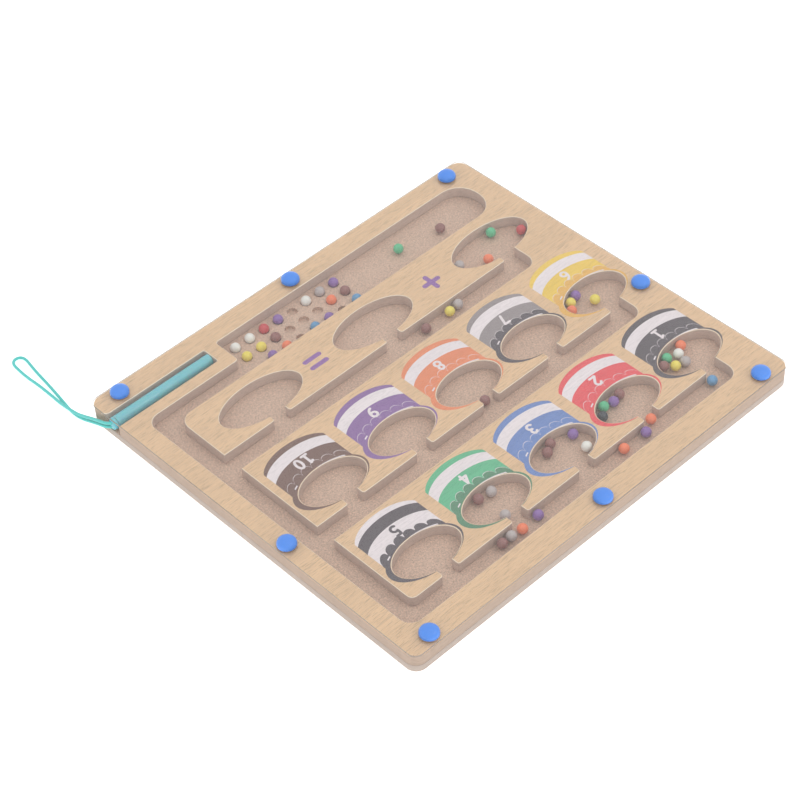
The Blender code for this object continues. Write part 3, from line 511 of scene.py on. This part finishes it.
def middle_of(edge):
    """The middle point of an edge."""
    return (edge.verts[0].co + edge.verts[1].co) / 2


def mark_sides(mesh):
    """Gives the upright faces at the board's outline the second finish."""
    for face in mesh.faces:
        at_side = from_outline(face.calc_center_median()) < NEAR_OUTLINE
        if abs(face.normal.z) < UPRIGHT and at_side:
            face.material_index = 1


def is_border(edge):
    """Whether an edge lies on the board's outline."""
    return from_outline(middle_of(edge)) < AT_OUTLINE


def is_routed(edge):
    """Whether an edge of the plate's top runs along a routed wall, open to the eye."""
    point = middle_of(edge)
    under_a_cap = any(
        all(low[axis] < point[axis] < high[axis] for axis in (0, 1)) for low, high in SCREW_PLACES
    )
    return point.z > PLATE_TOP - AT_LEVEL and from_outline(point) > AT_OUTLINE and not under_a_cap


def rims_a_dimple(edge):
    """Whether an edge lies on the base board's top face, round one of the tray's dimples."""
    middle = middle_of(edge)
    near_tray = middle.y < DIMPLES_BACK * MM and from_outline(middle) > TRAY_EDGE * MM
    return near_tray and abs(middle.z - BASE_TOP) < AT_LEVEL / 2


def add_prism(mesh, outline, low, high, finish):
    """A closed prism on an outline given anticlockwise, in a bmesh."""
    bottom = [mesh.verts.new((x, y, low)) for x, y in outline]
    top = [mesh.verts.new((x, y, high)) for x, y in outline]
    faces = [mesh.faces.new(bottom[::-1]), mesh.faces.new(top)]
    for start in range(len(outline)):
        end = (start + 1) % len(outline)
        faces.append(mesh.faces.new((bottom[start], bottom[end], top[end], top[start])))
    for face in faces:
        face.material_index = finish


def spun(profile, segments):
    """A bmesh turned round Z from a profile of radius and height, from the bottom up."""
    mesh = bmesh.new()
    turns = even_steps(0, 2 * math.pi, segments)[:-1]
    rings = []
    for radius, height in profile:
        ring = [on_circle((0, 0), radius, turn) for turn in turns] if radius else [(0, 0)]
        rings.append([mesh.verts.new((x, y, height)) for x, y in ring])
    for lower, upper in zip(rings, rings[1:]):
        for step in range(segments):
            after = (step + 1) % segments
            places = ((lower, step), (lower, after), (upper, after), (upper, step))
            corners = list(dict.fromkeys(ring[place % len(ring)] for ring, place in places))
            if len(corners) > 2:
                mesh.faces.new(corners)
    bmesh.ops.recalc_face_normals(mesh, faces=mesh.faces)
    return mesh


def copies_tree(name):
    """A Geometry Nodes tree that puts a copy of one piece on each point, turned by chance."""
    tree = bpy.data.node_groups.new(name, "GeometryNodeTree")
    names = {}
    for label, kind in (
        ("Places", "Geometry"),
        ("Piece", "Object"),
        ("Finish", "Material"),
        ("Most turn", "Vector"),
        ("Seed", "Int"),
    ):
        socket = tree.interface.new_socket(label, in_out="INPUT", socket_type=f"NodeSocket{kind}")
        names[label] = socket.identifier
    tree.interface.new_socket("Pieces", in_out="OUTPUT", socket_type="NodeSocketGeometry")
    given = add_node(tree, "NodeGroupInput").outputs
    piece = add_node(tree, "GeometryNodeObjectInfo", {"Object": given["Piece"]})
    limits = {"Max": given["Most turn"], "Seed": given["Seed"]}
    turn = add_node(tree, "FunctionNodeRandomValue", limits, data_type="FLOAT_VECTOR")
    settings = {
        "Points": given["Places"],
        "Instance": piece.outputs["Geometry"],
        "Rotation": turn.outputs["Value"],
    }
    set_out = add_node(tree, "GeometryNodeInstanceOnPoints", settings)
    real = add_node(tree, "GeometryNodeRealizeInstances", {"Geometry": set_out.outputs[0]})
    settings = {"Geometry": real.outputs[0], "Material": given["Finish"]}
    dressed = add_node(tree, "GeometryNodeSetMaterial", settings)
    add_node(tree, "NodeGroupOutput", {"Pieces": dressed.outputs[0]})
    return tree, names


def copies(name, template, places, finish, most_turn, smooth_angle):
    """A plain mesh piece with a copy of a template's mesh at each place."""
    scene = bpy.context.scene
    tree, names = copies_tree(f"{name}_copies")
    points = bpy.data.meshes.new(f"{name}_places")
    points.from_pydata(places, [], [])
    holder = bpy.data.objects.new(f"{name}_holder", points)
    pattern = bpy.data.objects.new(f"{name}_pattern", template)
    for helper in (holder, pattern):
        scene.collection.objects.link(helper)
    modifier = holder.modifiers.new("Copies", "NODES")
    modifier.node_group = tree
    modifier[names["Piece"]] = pattern
    modifier[names["Finish"]] = finish
    modifier[names["Most turn"]] = most_turn
    modifier[names["Seed"]] = scene.maze_sizes.seed
    graph = bpy.context.evaluated_depsgraph_get()
    mesh = bpy.data.meshes.new_from_object(holder.evaluated_get(graph), depsgraph=graph)
    holder.modifiers.remove(modifier)
    for helper in (holder, pattern):
        bpy.data.objects.remove(helper)
    if not mesh.polygons:
        raise RuntimeError(f"{name}: no copy was made")
    mesh.name = name
    return new_piece(name, mesh, () if mesh.materials else (finish,), smooth_angle)


def enamel_drop(middle, ripple, turn):
    """A bead as its enamel dries: a round ball with soft ripples."""
    mesh = bmesh.new()
    bmesh.ops.create_icosphere(mesh, subdivisions=4, radius=BEAD_RADIUS)
    for vertex in mesh.verts:
        out = vertex.co.normalized()
        lift = noise.noise(out * 1.7 + Vector((turn, turn, 0))) * ripple
        vertex.co = out * (BEAD_RADIUS - ripple + lift)
    bmesh.ops.rotate(mesh, verts=mesh.verts, matrix=Euler((turn, 2 * turn, 0)).to_matrix())
    bmesh.ops.translate(mesh, verts=mesh.verts, vec=middle)
    return finished(mesh, "bead")


def enamel(name, colour):
    # Thick enamel, tumbled onto a steel ball: matt to satin, with a soft wide highlight and
    # faint clouds where the coat is thinner
    return speckled(f"{name}_tumbled_enamel", colour, 1.6, 0.05, 0.42, 0.02)


# Prints


def level(across, lowest, half=LEVEL_HALF):
    """Height of a line round the can, this far across from its middle."""
    return lowest + half[1] * (1 - math.sqrt(1 - (across / half[0]) ** 2))


def scallops(across):
    """Lower edge of the upper ink: a row of even round scallops."""
    share = (across + CAN_HALF) / (2 * CAN_HALF) * SCALLOPS
    drop = SCALLOP_DROP * math.sqrt(max(0, 1 - (2 * (share % 1) - 1) ** 2))
    return level(across, SCALLOP_LEVEL) - drop


# The lines round the can that part its inks, from its scallops down to its foot
CAN_LINES = (
    scallops,
    lambda across: scallops(across) - SCALLOP_LINE,
    lambda across: level(across, BAND_LEVELS[0]),
    lambda across: level(across, BAND_LEVELS[1]),
    lambda across: level(across, FOOT_LEVEL, FOOT_HALF),
)


def across_can():
    """Steps across the can from left to right, closer together than its scallops."""
    return even_steps(-CAN_HALF, CAN_HALF, SCALLOPS * SCALLOP_STEPS)


def strip(upper, lower):
    """Outline between two lines across the can, anticlockwise."""
    steps = across_can()
    below = [(CAN_CENTRE + step, lower(step)) for step in steps]
    above = [(CAN_CENTRE + step, upper(step)) for step in steps]
    return below + above[::-1]


def arc(centre, half, start, end, count=48):
    """Points of an ellipse between two clockwise turns from its back."""
    turns = even_steps(start, end, count)
    return [(centre[0] + half[0] * math.sin(t), centre[1] + half[1] * math.cos(t)) for t in turns]


def collar():
    """Outline of the ink round a pocket: from the neck round the rim, along the scallops and
    back round the pocket's own edge. Anticlockwise."""
    neck = NECK_HALF + EDGE_MARGIN
    hole = [half + EDGE_MARGIN for half in POCKET_HALF]
    from_neck, to_neck, right, left = [
        math.asin((across - RIM_CENTRE[0]) / RIM_HALF[0])
        for across in (neck, -neck, CAN_CENTRE + CAN_HALF, CAN_CENTRE - CAN_HALF)
    ]
    hole_turn = math.asin(neck / hole[0])
    outer = arc(RIM_CENTRE, RIM_HALF, from_neck, math.pi - right)
    edge = [(CAN_CENTRE + step, scallops(step)) for step in across_can()[::-1]]
    rest = arc(RIM_CENTRE, RIM_HALF, math.pi - left, 2 * math.pi + to_neck)
    inner = arc((0, 0), hole, 2 * math.pi - hole_turn, hole_turn, 96)
    return (outer + edge + rest + inner)[::-1]


def wedge(start, end, thick, thin):
    """Outline of a highlight that follows the can round and tapers."""
    steps = even_steps(start, end, 20)
    widths = even_steps(thick, thin, 20)
    middle = [level(step - CAN_CENTRE, SHINE_LEVEL) for step in steps]
    below = [(x, y - width / 2) for x, y, width in zip(steps, middle, widths)]
    above = [(x, y + width / 2) for x, y, width in zip(steps, middle, widths)]
    return below + above[::-1]


def capsule(centre, half_length, half_width, upright):
    """Outline of a bar with round ends."""
    reach = half_length - half_width
    turns = even_steps(-math.pi / 2, math.pi / 2, 12)
    right = [on_circle((reach, 0), half_width, turn) for turn in turns]
    points = right + [(-x, -y) for x, y in right]
    if upright:
        points = [(-y, x) for x, y in points]
    return [(centre[0] + x, centre[1] + y) for x, y in points]


def placed(outline, x, y):
    """An outline in metres, moved to a pocket's middle."""
    return [(x + across * MM, y + along * MM) for across, along in outline]


def bow(x, y, half_x, half_y, start, end):
    """Path along an ellipse round x and y, between two angles in degrees from its right."""
    turns = [math.radians(angle) for angle in even_steps(start, end, 24)]
    return [(x + half_x * math.cos(turn), y + half_y * math.sin(turn)) for turn in turns]


def oval(y, half_x, half_y):
    """The two halves of an upright oval round y."""
    return bow(0, y, half_x, half_y, 0, 180), bow(0, y, half_x, half_y, 180, 360)


# Numerals as a signwriter draws them: the middle lines of each one's strokes, in millimetres
SIX = (*oval(-1.6, 1.85, 1.9), bow(1.6, -1.6, 3.45, 5.1, 180, 98))
DIGITS = {
    "0": oval(0, 1.8, 3.5),
    "1": (((0.1, -3.5), (0.1, 3.5)), ((0.1, 3.5), (-1.5, 2.6)), ((-1.7, -3.5), (1.8, -3.5))),
    "2": (bow(-0.1, 1.6, 1.8, 1.9, 160, -35) + [(-1.9, -3.4)], ((-1.9, -3.5), (1.9, -3.5))),
    "3": (bow(-0.2, 1.8, 1.6, 1.7, 145, -90), bow(-0.2, -1.65, 1.9, 1.85, 90, -145)),
    "4": (((0.8, -3.5), (0.8, 3.5)), ((0.8, 3.5), (-2.1, -1.6)), ((-2.1, -1.6), (2.1, -1.6))),
    "5": (
        ((1.6, 3.5), (-1.3, 3.5)),
        ((-1.3, 3.5), (-1.4, 0.5)),
        bow(-0.4, -1.4, 2.1, 2.1, 118, -130),
    ),
    "6": SIX,
    "7": (((-1.8, 3.5), (1.9, 3.5)), ((1.9, 3.5), (-0.7, -3.5))),
    "8": (*oval(1.85, 1.55, 1.65), *oval(-1.65, 1.85, 1.85)),
    "9": tuple([(-x, -y) for x, y in path] for path in SIX),
}


def stroke(path, half_width):
    """Outline of a stroke along a path, with round ends. Anticlockwise."""
    ahead = []
    for index in range(len(path)):
        before = path[max(index - 1, 0)]
        after = path[min(index + 1, len(path) - 1)]
        ahead.append(math.atan2(after[1] - before[1], after[0] - before[0]))
    sides = []
    for hand in (-1, 1):
        turns = [turn + hand * math.pi / 2 for turn in ahead]
        sides.append([on_circle(point, half_width, turn) for point, turn in zip(path, turns)])
    swing = even_steps(-math.pi / 2, math.pi / 2, 8)[1:-1]
    end = [on_circle(path[-1], half_width, ahead[-1] + turn) for turn in swing]
    start = [on_circle(path[0], half_width, ahead[0] + math.pi + turn) for turn in swing]
    return sides[0] + end + sides[1][::-1] + start


def on_circle(centre, radius, turn):
    """Point of a circle at an angle."""
    return centre[0] + radius * math.cos(turn), centre[1] + radius * math.sin(turn)


def numeral(text):
    """Outlines of a numeral's strokes, from its own middle, in millimetres."""
    outlines = []
    for number, digit in enumerate(text):
        along = DIGIT_PITCH * (number - (len(text) - 1) / 2)
        for path in DIGITS[digit]:
            moved = [(x + along, y) for x, y in path]
            outlines.append(stroke(moved, NUMERAL_STROKE / 2))
    return outlines


# Operators


class StageOperator(bpy.types.Operator):
    """Makes the camera, a plain pale floor, a white surround, a broad soft lamp and a small one"""

    bl_idname = "maze.stage"
    bl_label = "Stage"

    def execute(self, context):
        scene = context.scene
        lens = bpy.data.cameras.new("picture_camera")
        lens.lens = CAMERA_LENS
        lens.sensor_width = 36
        lens.clip_start = 0.01
        lens.clip_end = 100
        camera = bpy.data.objects.new("picture_camera", lens)
        axes = Matrix((CAMERA_RIGHT, CAMERA_UP, CAMERA_BACK)).transposed().to_4x4()
        camera.matrix_world = Matrix.Translation(CAMERA_PLACE) @ axes
        scene.collection.objects.link(camera)
        scene.camera = camera
        scene.view_settings.view_transform = "Standard"

        world = bpy.data.worlds.new("white_surround")
        world.use_nodes = True
        background = world.node_tree.nodes["Background"].inputs
        background["Color"].default_value = (1, 1, 1, 1)
        background["Strength"].default_value = 1.0
        scene.world = world

        self.lamp("softbox", SOFTBOX_SIZE, SOFTBOX_POWER, SOFTBOX_PLACE)
        # A second small lamp, across the board from the camera, draws the thin highlight on the pen
        self.lamp("highlight_lamp", HIGHLIGHT_SIZE, HIGHLIGHT_POWER, HIGHLIGHT_PLACE, "DISK")

        # Seamless white paper, lit evenly
        made, tree, shader, place = surface("white_paper_matt", Roughness=0.9, IOR=1.4)
        fibres = grains(tree, place, (4, 4, 4))
        sides = {0: fibres, 6: (0.9, 0.9, 0.9, 1), 7: (0.93, 0.93, 0.93, 1)}
        tone = add_node(tree, "ShaderNodeMix", sides, data_type="RGBA")
        tree.links.new(tone.outputs[2], shader.inputs["Base Color"])
        shader.inputs["Emission Color"].default_value = (1, 1, 1, 1)
        shader.inputs["Emission Strength"].default_value = 0.6
        sheet = bmesh.new()
        bmesh.ops.create_grid(sheet, x_segments=4, y_segments=4, size=4)
        bmesh.ops.translate(sheet, verts=sheet.verts, vec=(0, 0, FLOOR_LEVEL))
        floor = new_piece("floor", finished(sheet, "floor"), (made,))
        return {"FINISHED"}

    def lamp(self, name, width, power, place, shape="SQUARE"):
        """Adds an area lamp that looks at the board's middle."""
        light = bpy.data.lights.new(name, "AREA")
        light.shape = shape
        light.size = width
        light.energy = power
        lamp = bpy.data.objects.new(name, light)
        lamp.location = place
        lamp.rotation_euler = (-lamp.location).to_track_quat("-Z", "Y").to_euler()
        bpy.context.scene.collection.objects.link(lamp)


class LanyardOperator(bpy.types.Operator):
    """Makes the lanyard: a braided cord, out of the pen's end cap and back into it"""

    bl_idname = "maze.lanyard"
    bl_label = "Lanyard"

    def execute(self, context):
        sizes = context.scene.maze_sizes
        path = self.path()
        radius = CORD_DIAMETER * MM / 2
        fine = evenly(curve_through(path), BRAID_STEP * MM)
        mesh = bmesh.new()
        lay = mesh.loops.layers.uv.new("lay")
        side = Vector((0, 0, 1))
        rings, done = [], 0
        for index, point in enumerate(fine):
            ahead = (fine[min(index + 1, len(fine) - 1)] - fine[max(index - 1, 0)]).normalized()
            side = (side - ahead * side.dot(ahead)).normalized()
            other = ahead.cross(side)
            done += (point - fine[index - 1]).length if index else 0
            ring = []
            for turn in even_steps(0, 2 * math.pi, BRAID_SIDES)[:-1]:
                along = 2 * math.pi * done / sizes.braid_pitch
                around = BRAID_STRANDS * turn
                crown = math.sin(around + along) * math.sin(around - along)
                reach = radius * (1 + BRAID_RELIEF_SHARE * (crown - 1))
                out = math.cos(turn) * side + math.sin(turn) * other
                ring.append(mesh.verts.new(point + reach * out))
            rings.append((ring, done / sizes.braid_pitch))
        for (first, start), (second, end) in zip(rings, rings[1:]):
            for step in range(BRAID_SIDES):
                after = (step + 1) % BRAID_SIDES
                face = mesh.faces.new((first[step], first[after], second[after], second[step]))
                near, far = step / BRAID_SIDES, (step + 1) / BRAID_SIDES
                places = ((near, start), (far, start), (far, end), (near, end))
                for loop, place in zip(face.loops, places):
                    loop[lay].uv = place
        mesh.faces.new(rings[0][0][::-1])
        mesh.faces.new(rings[-1][0])
        mesh.normal_update()
        yarn = braided_yarn(context.scene.maze_paints.lanyard)
        cord = new_piece("lanyard_braid", finished(mesh, "lanyard_braid"), (yarn,), 50)
        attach(cord, BODY_OF_PEN)
        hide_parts("lanyard_cord")
        return {"FINISHED"}

    def path(self):
        """The route's own smooth line, in evenly spaced points."""
        start = Vector((PEN_END_FACE, PEN_AXIS_Y, 0))
        route = [(start + Vector(point)) * MM for point in LANYARD_ROUTE]
        return evenly(curve_through(route), CORD_STEP * MM)


def curve_through(route):
    """Points on a smooth curve through a route's own points."""
    ends = [2 * route[0] - route[1]] + route + [2 * route[-1] - route[-2]]
    line = []
    for before, start, end, after in zip(ends, ends[1:], ends[2:], ends[3:]):
        for step in range(ROUTE_SAMPLES):
            t = step / ROUTE_SAMPLES
            square = 2 * before - 5 * start + 4 * end - after
            cube = 3 * start - before - 3 * end + after
            line.append((2 * start + (end - before) * t + square * t**2 + cube * t**3) / 2)
    return line + [route[-1]]


def evenly(line, step):
    """Points at even distances along a line."""
    lengths = [0.0]
    for start, end in zip(line, line[1:]):
        lengths.append(lengths[-1] + (end - start).length)
    count = round(lengths[-1] / step)
    points, index = [], 0
    for number in range(count + 1):
        reach = lengths[-1] * number / count
        while index < len(line) - 2 and lengths[index + 1] < reach:
            index += 1
        share = (reach - lengths[index]) / (lengths[index + 1] - lengths[index])
        points.append(line[index].lerp(line[index + 1], min(max(share, 0), 1)))
    return points


class BaseBoardOperator(bpy.types.Operator):
    """Makes the base board: fibreboard with dimples, its routed face up"""

    bl_idname = "maze.base_board"
    bl_label = "Base board"

    def execute(self, context):
        inks = context.scene.maze_inks
        sizes = context.scene.maze_sizes
        mesh = merged_copy("base_board")
        mark_sides(mesh)
        break_edges(mesh, is_border, sizes.board_edge, 1, 2)
        break_edges(mesh, rims_a_dimple, sizes.dimple_edge, 1)
        # Dry-process fibreboard, sanded: even brown gray with fine darker fibres
        face_finish = speckled("fibreboard_sanded", inks.fibreboard, 0.9, 0.34, 0.75)
        # Its sawn and sanded edge, paler, with fibre layers along the board
        side_finish = woody(
            "fibreboard_edge", linear("b6a89e"), (18, 18, 0.5), (5, 5, 0.3), 0.05, 0.86, 0.7
        )
        finishes = (face_finish, side_finish)
        board = new_piece("base_board_faces", finished(mesh, "base_board_faces"), finishes, 32)
        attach(board, BODY_OF_BOARD)
        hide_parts("base_board")
        return {"FINISHED"}


class MazePlateOperator(bpy.types.Operator):
    """Makes the maze plate: veneered top, routed walls with a pale broken edge, its paleness partly
    a painted highlight
    """

    bl_idname = "maze.maze_plate"
    bl_label = "Maze plate"

    def execute(self, context):
        inks = context.scene.maze_inks
        sizes = context.scene.maze_sizes
        mesh = merged_copy("maze_plate")
        for face in mesh.faces:
            at_side = from_outline(face.calc_center_median()) < NEAR_OUTLINE
            face.material_index = 0 if face.normal.z > FACING_UP else 2 if at_side else 1
        break_edges(mesh, is_routed, sizes.routed_edge, 3)
        # Beech veneer, sanded and matt lacquered: warm, with fine streaks and short rays
        veneer = woody(
            "beech_veneer_sanded", inks.veneer, (40, 0.55, 0.55), (6, 0.4, 0.4), 0.09, 0.76, 0.55
        )
        # Routed wall of the pressed core: a darker, burnished brown
        wall = woody("routed_core", inks.core, (14, 14, 0.5), (3, 3, 0.3), 0.07, 0.8, 0.75)
        # Outer edge of the plate, sanded
        side = woody(
            "plate_edge_sanded", linear("b09b8b"), (18, 18, 0.6), (5, 5, 0.3), 0.06, 0.82, 0.7
        )
        # Broken edge of the veneer: fresh fibres, paler than the face, and lighter still with a
        # painted highlight where the edge would catch the light
        broken = speckled("veneer_broken_edge", linear("f4e3d0"), 0.7, 0.04, 0.7)
        finishes = (veneer, wall, side, broken)
        plate = new_piece("maze_plate_wood", finished(mesh, "maze_plate_wood"), finishes, 32)
        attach(plate, BODY_OF_BOARD)
        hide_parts("maze_plate")
        return {"FINISHED"}


class PrintsOperator(bpy.types.Operator):
    """Prints the numbered cans round the pockets, and the plus and equals signs"""

    bl_idname = "maze.prints"
    bl_label = "Prints"

    def execute(self, context):
        inks = context.scene.maze_inks
        names = sorted({name for inks_of_can in CAN_INKS for name in inks_of_can} | {"sign"})
        finishes = [self.ink(f"{name}_ink", getattr(inks, f"{name}_ink")) for name in names]
        low = PLATE_TOP - PRINT_SINK * MM
        high = PLATE_TOP + PRINT_HEIGHT * MM
        over = high + PRINT_HEIGHT * MM
        cans = bmesh.new()
        marks = bmesh.new()
        for number, (body, upper, band) in enumerate(CAN_INKS):
            x = POCKET_XS[number % len(POCKET_XS)]
            y = POCKET_YS[number // len(POCKET_XS)]
            mark = names.index("white" if body != "white" else "black")
            add_prism(cans, placed(collar(), x, y), low, high, names.index(upper))
            fills = ("white", body, band, body)
            for above, below, name in zip(CAN_LINES, CAN_LINES[1:], fills):
                add_prism(cans, placed(strip(above, below), x, y), low, high, names.index(name))
            for span in SHINE_SPANS:
                add_prism(marks, placed(wedge(*span), x, y), high, over, names.index("white"))
            place = (x + NUMERAL_PLACE[0] * MM, y + NUMERAL_PLACE[1] * MM)
            for layer, outline in enumerate(numeral(str(number + 1))):
                top = over + layer * INK_LAYER * MM
                add_prism(marks, placed(outline, *place), high, top, mark)
        sign = names.index("sign")
        for upright in (False, True):
            bar = capsule(PLUS_PLACE, SIGN_HALF_LENGTH, SIGN_HALF_WIDTH, upright)
            add_prism(cans, placed(bar, 0, 0), low, over if upright else high, sign)
        for side in (-1, 1):
            centre = (EQUALS_PLACE[0], EQUALS_PLACE[1] + side * EQUALS_SPACING)
            bar = capsule(centre, SIGN_HALF_LENGTH, SIGN_HALF_WIDTH, False)
            add_prism(cans, placed(bar, 0, 0), low, high, sign)
        for name, mesh in (("can_prints", cans), ("numeral_prints", marks)):
            printed = new_piece(name, finished(mesh, name), finishes)
            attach(printed, BODY_OF_BOARD)
        return {"FINISHED"}

    def ink(self, name, colour):
        """Screen ink on veneer: flat and matt, a little thinner along the grain's streaks."""
        streak, ray = (60, 1.1, 1.1), (3.6, 0.4, 0.4)
        return woody(f"screen_printed_{name}", colour, streak, ray, 0.055, 0.88, 0.5)


class ClearCoverOperator(bpy.types.Operator):
    """Makes the clear cover: a polished sheet whose thin edges are painted dark, as shade"""

    bl_idname = "maze.clear_cover"
    bl_label = "Clear cover"

    def execute(self, context):
        sizes = context.scene.maze_sizes
        mesh = merged_copy("clear_cover")
        mark_sides(mesh)
        break_edges(mesh, is_border, sizes.cover_edge, 1)
        finishes = (clear_acrylic(), acrylic_edge())
        cover = new_piece("clear_cover_sheet", finished(mesh, "clear_cover_sheet"), finishes, 32)
        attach(cover, BODY_OF_BOARD)
        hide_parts("clear_cover")
        return {"FINISHED"}


class ScrewsOperator(bpy.types.Operator):
    """Makes the eight screws: a blue domed cap over each steel shank"""

    bl_idname = "maze.screws"
    bl_label = "Screws"

    def execute(self, context):
        scene = context.scene
        sizes = scene.maze_sizes
        low, high = SCREW_PLACES[0]
        radius = (high[0] - low[0]) / 2
        seat = COVER_TOP + HEAD_GAP * MM
        height = high[2] - seat
        places = [((a[0] + b[0]) / 2, (a[1] + b[1]) / 2, 0) for a, b in SCREW_PLACES]
        skirt = CAP_SKIRT_SHARE * height
        rim = sizes.cap_rim
        dome = [
            (radius * math.sin(turn), seat + skirt + (height - skirt) * math.cos(turn))
            for turn in even_steps(math.pi / 2, 0, 14)[:-1]
        ]
        hem = [(0, seat), (radius - rim / 2, seat), (radius, seat + rim / 2)]
        cap = finished(spun([*hem, *dome, (0, high[2])], 48), "cap")
        # ABS caps, injection moulded: strong blue, satin, with a soft wide highlight
        plastic = speckled("abs_cap_moulded", scene.maze_paints.cap, 1.2, 0.03, 0.32, 0.01)
        caps = copies("screw_caps", cap, places, plastic, (0, 0, FULL_TURN), 35)
        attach(caps, BODY_OF_BOARD)
        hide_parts(*[f"domed_screw_{number + 1}" for number in range(8)])

        foot = SHANK_FOOT * MM
        pitch = sizes.thread_pitch
        outer = SHANK_RADIUS * MM
        root = outer * THREAD_ROOT_SHARE
        profile = [(0, foot)]
        rise = foot + SHANK_POINT * MM
        while rise < seat - pitch:
            profile += [(root, rise), (outer, rise + pitch / 2)]
            rise += pitch
        profile += [(root, rise), (root, seat), (0, seat)]
        shank = finished(spun(profile, 24), "shank")
        # Zinc-plated steel: bright gray, worn smooth on the threads
        tint = linear("b9bcc0")
        zinc = speckled("zinc_plated_steel", tint, 0.6, 0.08, 0.35, 0.02, **METAL)
        shanks = copies("screw_shanks", shank, places, zinc, (0, 0, FULL_TURN), 20)
        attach(shanks, BODY_OF_BOARD)
        return {"FINISHED"}


class PenOperator(bpy.types.Operator):
    """Makes the pen: moulded barrel, end cap and the magnet inside"""

    bl_idname = "maze.pen"
    bl_label = "Pen"

    def execute(self, context):
        colour = context.scene.maze_paints.pen
        # Polypropylene, moulded and slightly milky: a soft long highlight on light blue
        milky = {"Subsurface_Weight": 0.4, "Subsurface_Scale": 1.5 * MM}
        plastic = speckled("polypropylene_moulded", colour, 1.5, 0.02, 0.2, 0.004, **milky)
        # Nickel-plated magnet: bright, slightly warm metal
        tint = linear("c4c0b8")
        nickel = speckled("nickel_plated_magnet", tint, 0.8, 0.05, 0.25, 0.01, **METAL)
        for node, finish, slot in (
            ("pen_barrel", plastic, "pen_plastic"),
            ("pen_end_cap", plastic, "pen_plastic"),
            ("pen_magnet", nickel, "magnet"),
        ):
            mesh = merged_copy(node)
            piece = new_piece(f"{node}_moulding", finished(mesh, node), (finish,), 40)
            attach(piece, BODY_OF_PEN)
            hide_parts(node)
        return {"FINISHED"}


class LooseBeadsOperator(bpy.types.Operator):
    """Makes every bead that rolls or lifts, each on its own body"""

    bl_idname = "maze.loose_beads"
    bl_label = "Loose beads"

    def execute(self, context):
        paints = context.scene.maze_paints
        ripple = context.scene.maze_sizes.bead_ripple
        finishes = {}
        for number, node in enumerate(sorted(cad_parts)):
            if "_bead_" not in node:
                continue
            name = node.replace("parked_", "").split("_")[0]
            if name not in finishes:
                finishes[name] = enamel(name, getattr(paints, name))
            low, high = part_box(node)
            mesh = enamel_drop((Vector(low) + Vector(high)) / 2, ripple, number)
            bead = new_piece(f"{node}_enamelled", mesh, (finishes[name],), 60)
            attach(bead, f"{node}_body")
            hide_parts(node)
        return {"FINISHED"}


class StayingBeadsOperator(bpy.types.Operator):
    """Makes the beads that stay in their dimples"""

    bl_idname = "maze.staying_beads"
    bl_label = "Staying beads"

    def execute(self, context):
        ripple = context.scene.maze_sizes.bead_ripple
        any_turn = (FULL_TURN, FULL_TURN, FULL_TURN)
        for number, (name, dimples) in enumerate(STAYING_BEADS.items()):
            template = enamel_drop((0, 0, 0), ripple, number)
            places = []
            for row, column in dimples:
                x = LAST_DIMPLE[0] - DIMPLE_PITCH[0] * (LAST_COLUMN - column)
                y = LAST_DIMPLE[1] + DIMPLE_PITCH[1] * row
                places.append((x * MM, y * MM, PARKED_HEIGHT))
            finish = bpy.data.materials.get(f"{name}_tumbled_enamel")
            beads = copies(f"staying_{name}_beads", template, places, finish, any_turn, 60)
            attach(beads, BODY_OF_BOARD)
        return {"FINISHED"}


class MazePanel(bpy.types.Panel):
    """Lists the pieces, in the order they are made"""

    bl_idname = "MAZE_PT_pieces"
    bl_label = "Magnetic maze board"
    bl_space_type = "VIEW_3D"
    bl_region_type = "UI"
    bl_category = "Maze"

    def draw(self, context):
        for operator in OPERATORS:
            self.layout.operator(operator.bl_idname)
        scene = context.scene
        for group in (scene.maze_sizes, scene.maze_paints, scene.maze_inks):
            for name in type(group).__annotations__:
                self.layout.prop(group, name)


GROUPS = (MazeSizes, MazePaints, MazeInks)
OPERATORS = (
    StageOperator,
    LanyardOperator,
    BaseBoardOperator,
    MazePlateOperator,
    PrintsOperator,
    ClearCoverOperator,
    ScrewsOperator,
    PenOperator,
    LooseBeadsOperator,
    StayingBeadsOperator,
)


def register():
    for kind in (*GROUPS, *OPERATORS, MazePanel):
        bpy.utils.register_class(kind)
    bpy.types.Scene.maze_sizes = PointerProperty(type=MazeSizes)
    bpy.types.Scene.maze_paints = PointerProperty(type=MazePaints)
    bpy.types.Scene.maze_inks = PointerProperty(type=MazeInks)


def unregister():
    del bpy.types.Scene.maze_inks
    del bpy.types.Scene.maze_paints
    del bpy.types.Scene.maze_sizes
    for kind in reversed((*GROUPS, *OPERATORS, MazePanel)):
        bpy.utils.unregister_class(kind)


def main():
    register()
    bpy.ops.maze.stage()
    bpy.ops.maze.lanyard()
    bpy.ops.maze.base_board()
    bpy.ops.maze.maze_plate()
    bpy.ops.maze.prints()
    bpy.ops.maze.clear_cover()
    bpy.ops.maze.screws()
    bpy.ops.maze.pen()
    bpy.ops.maze.loose_beads()
    bpy.ops.maze.staying_beads()


if __name__ == "__main__":
    main()
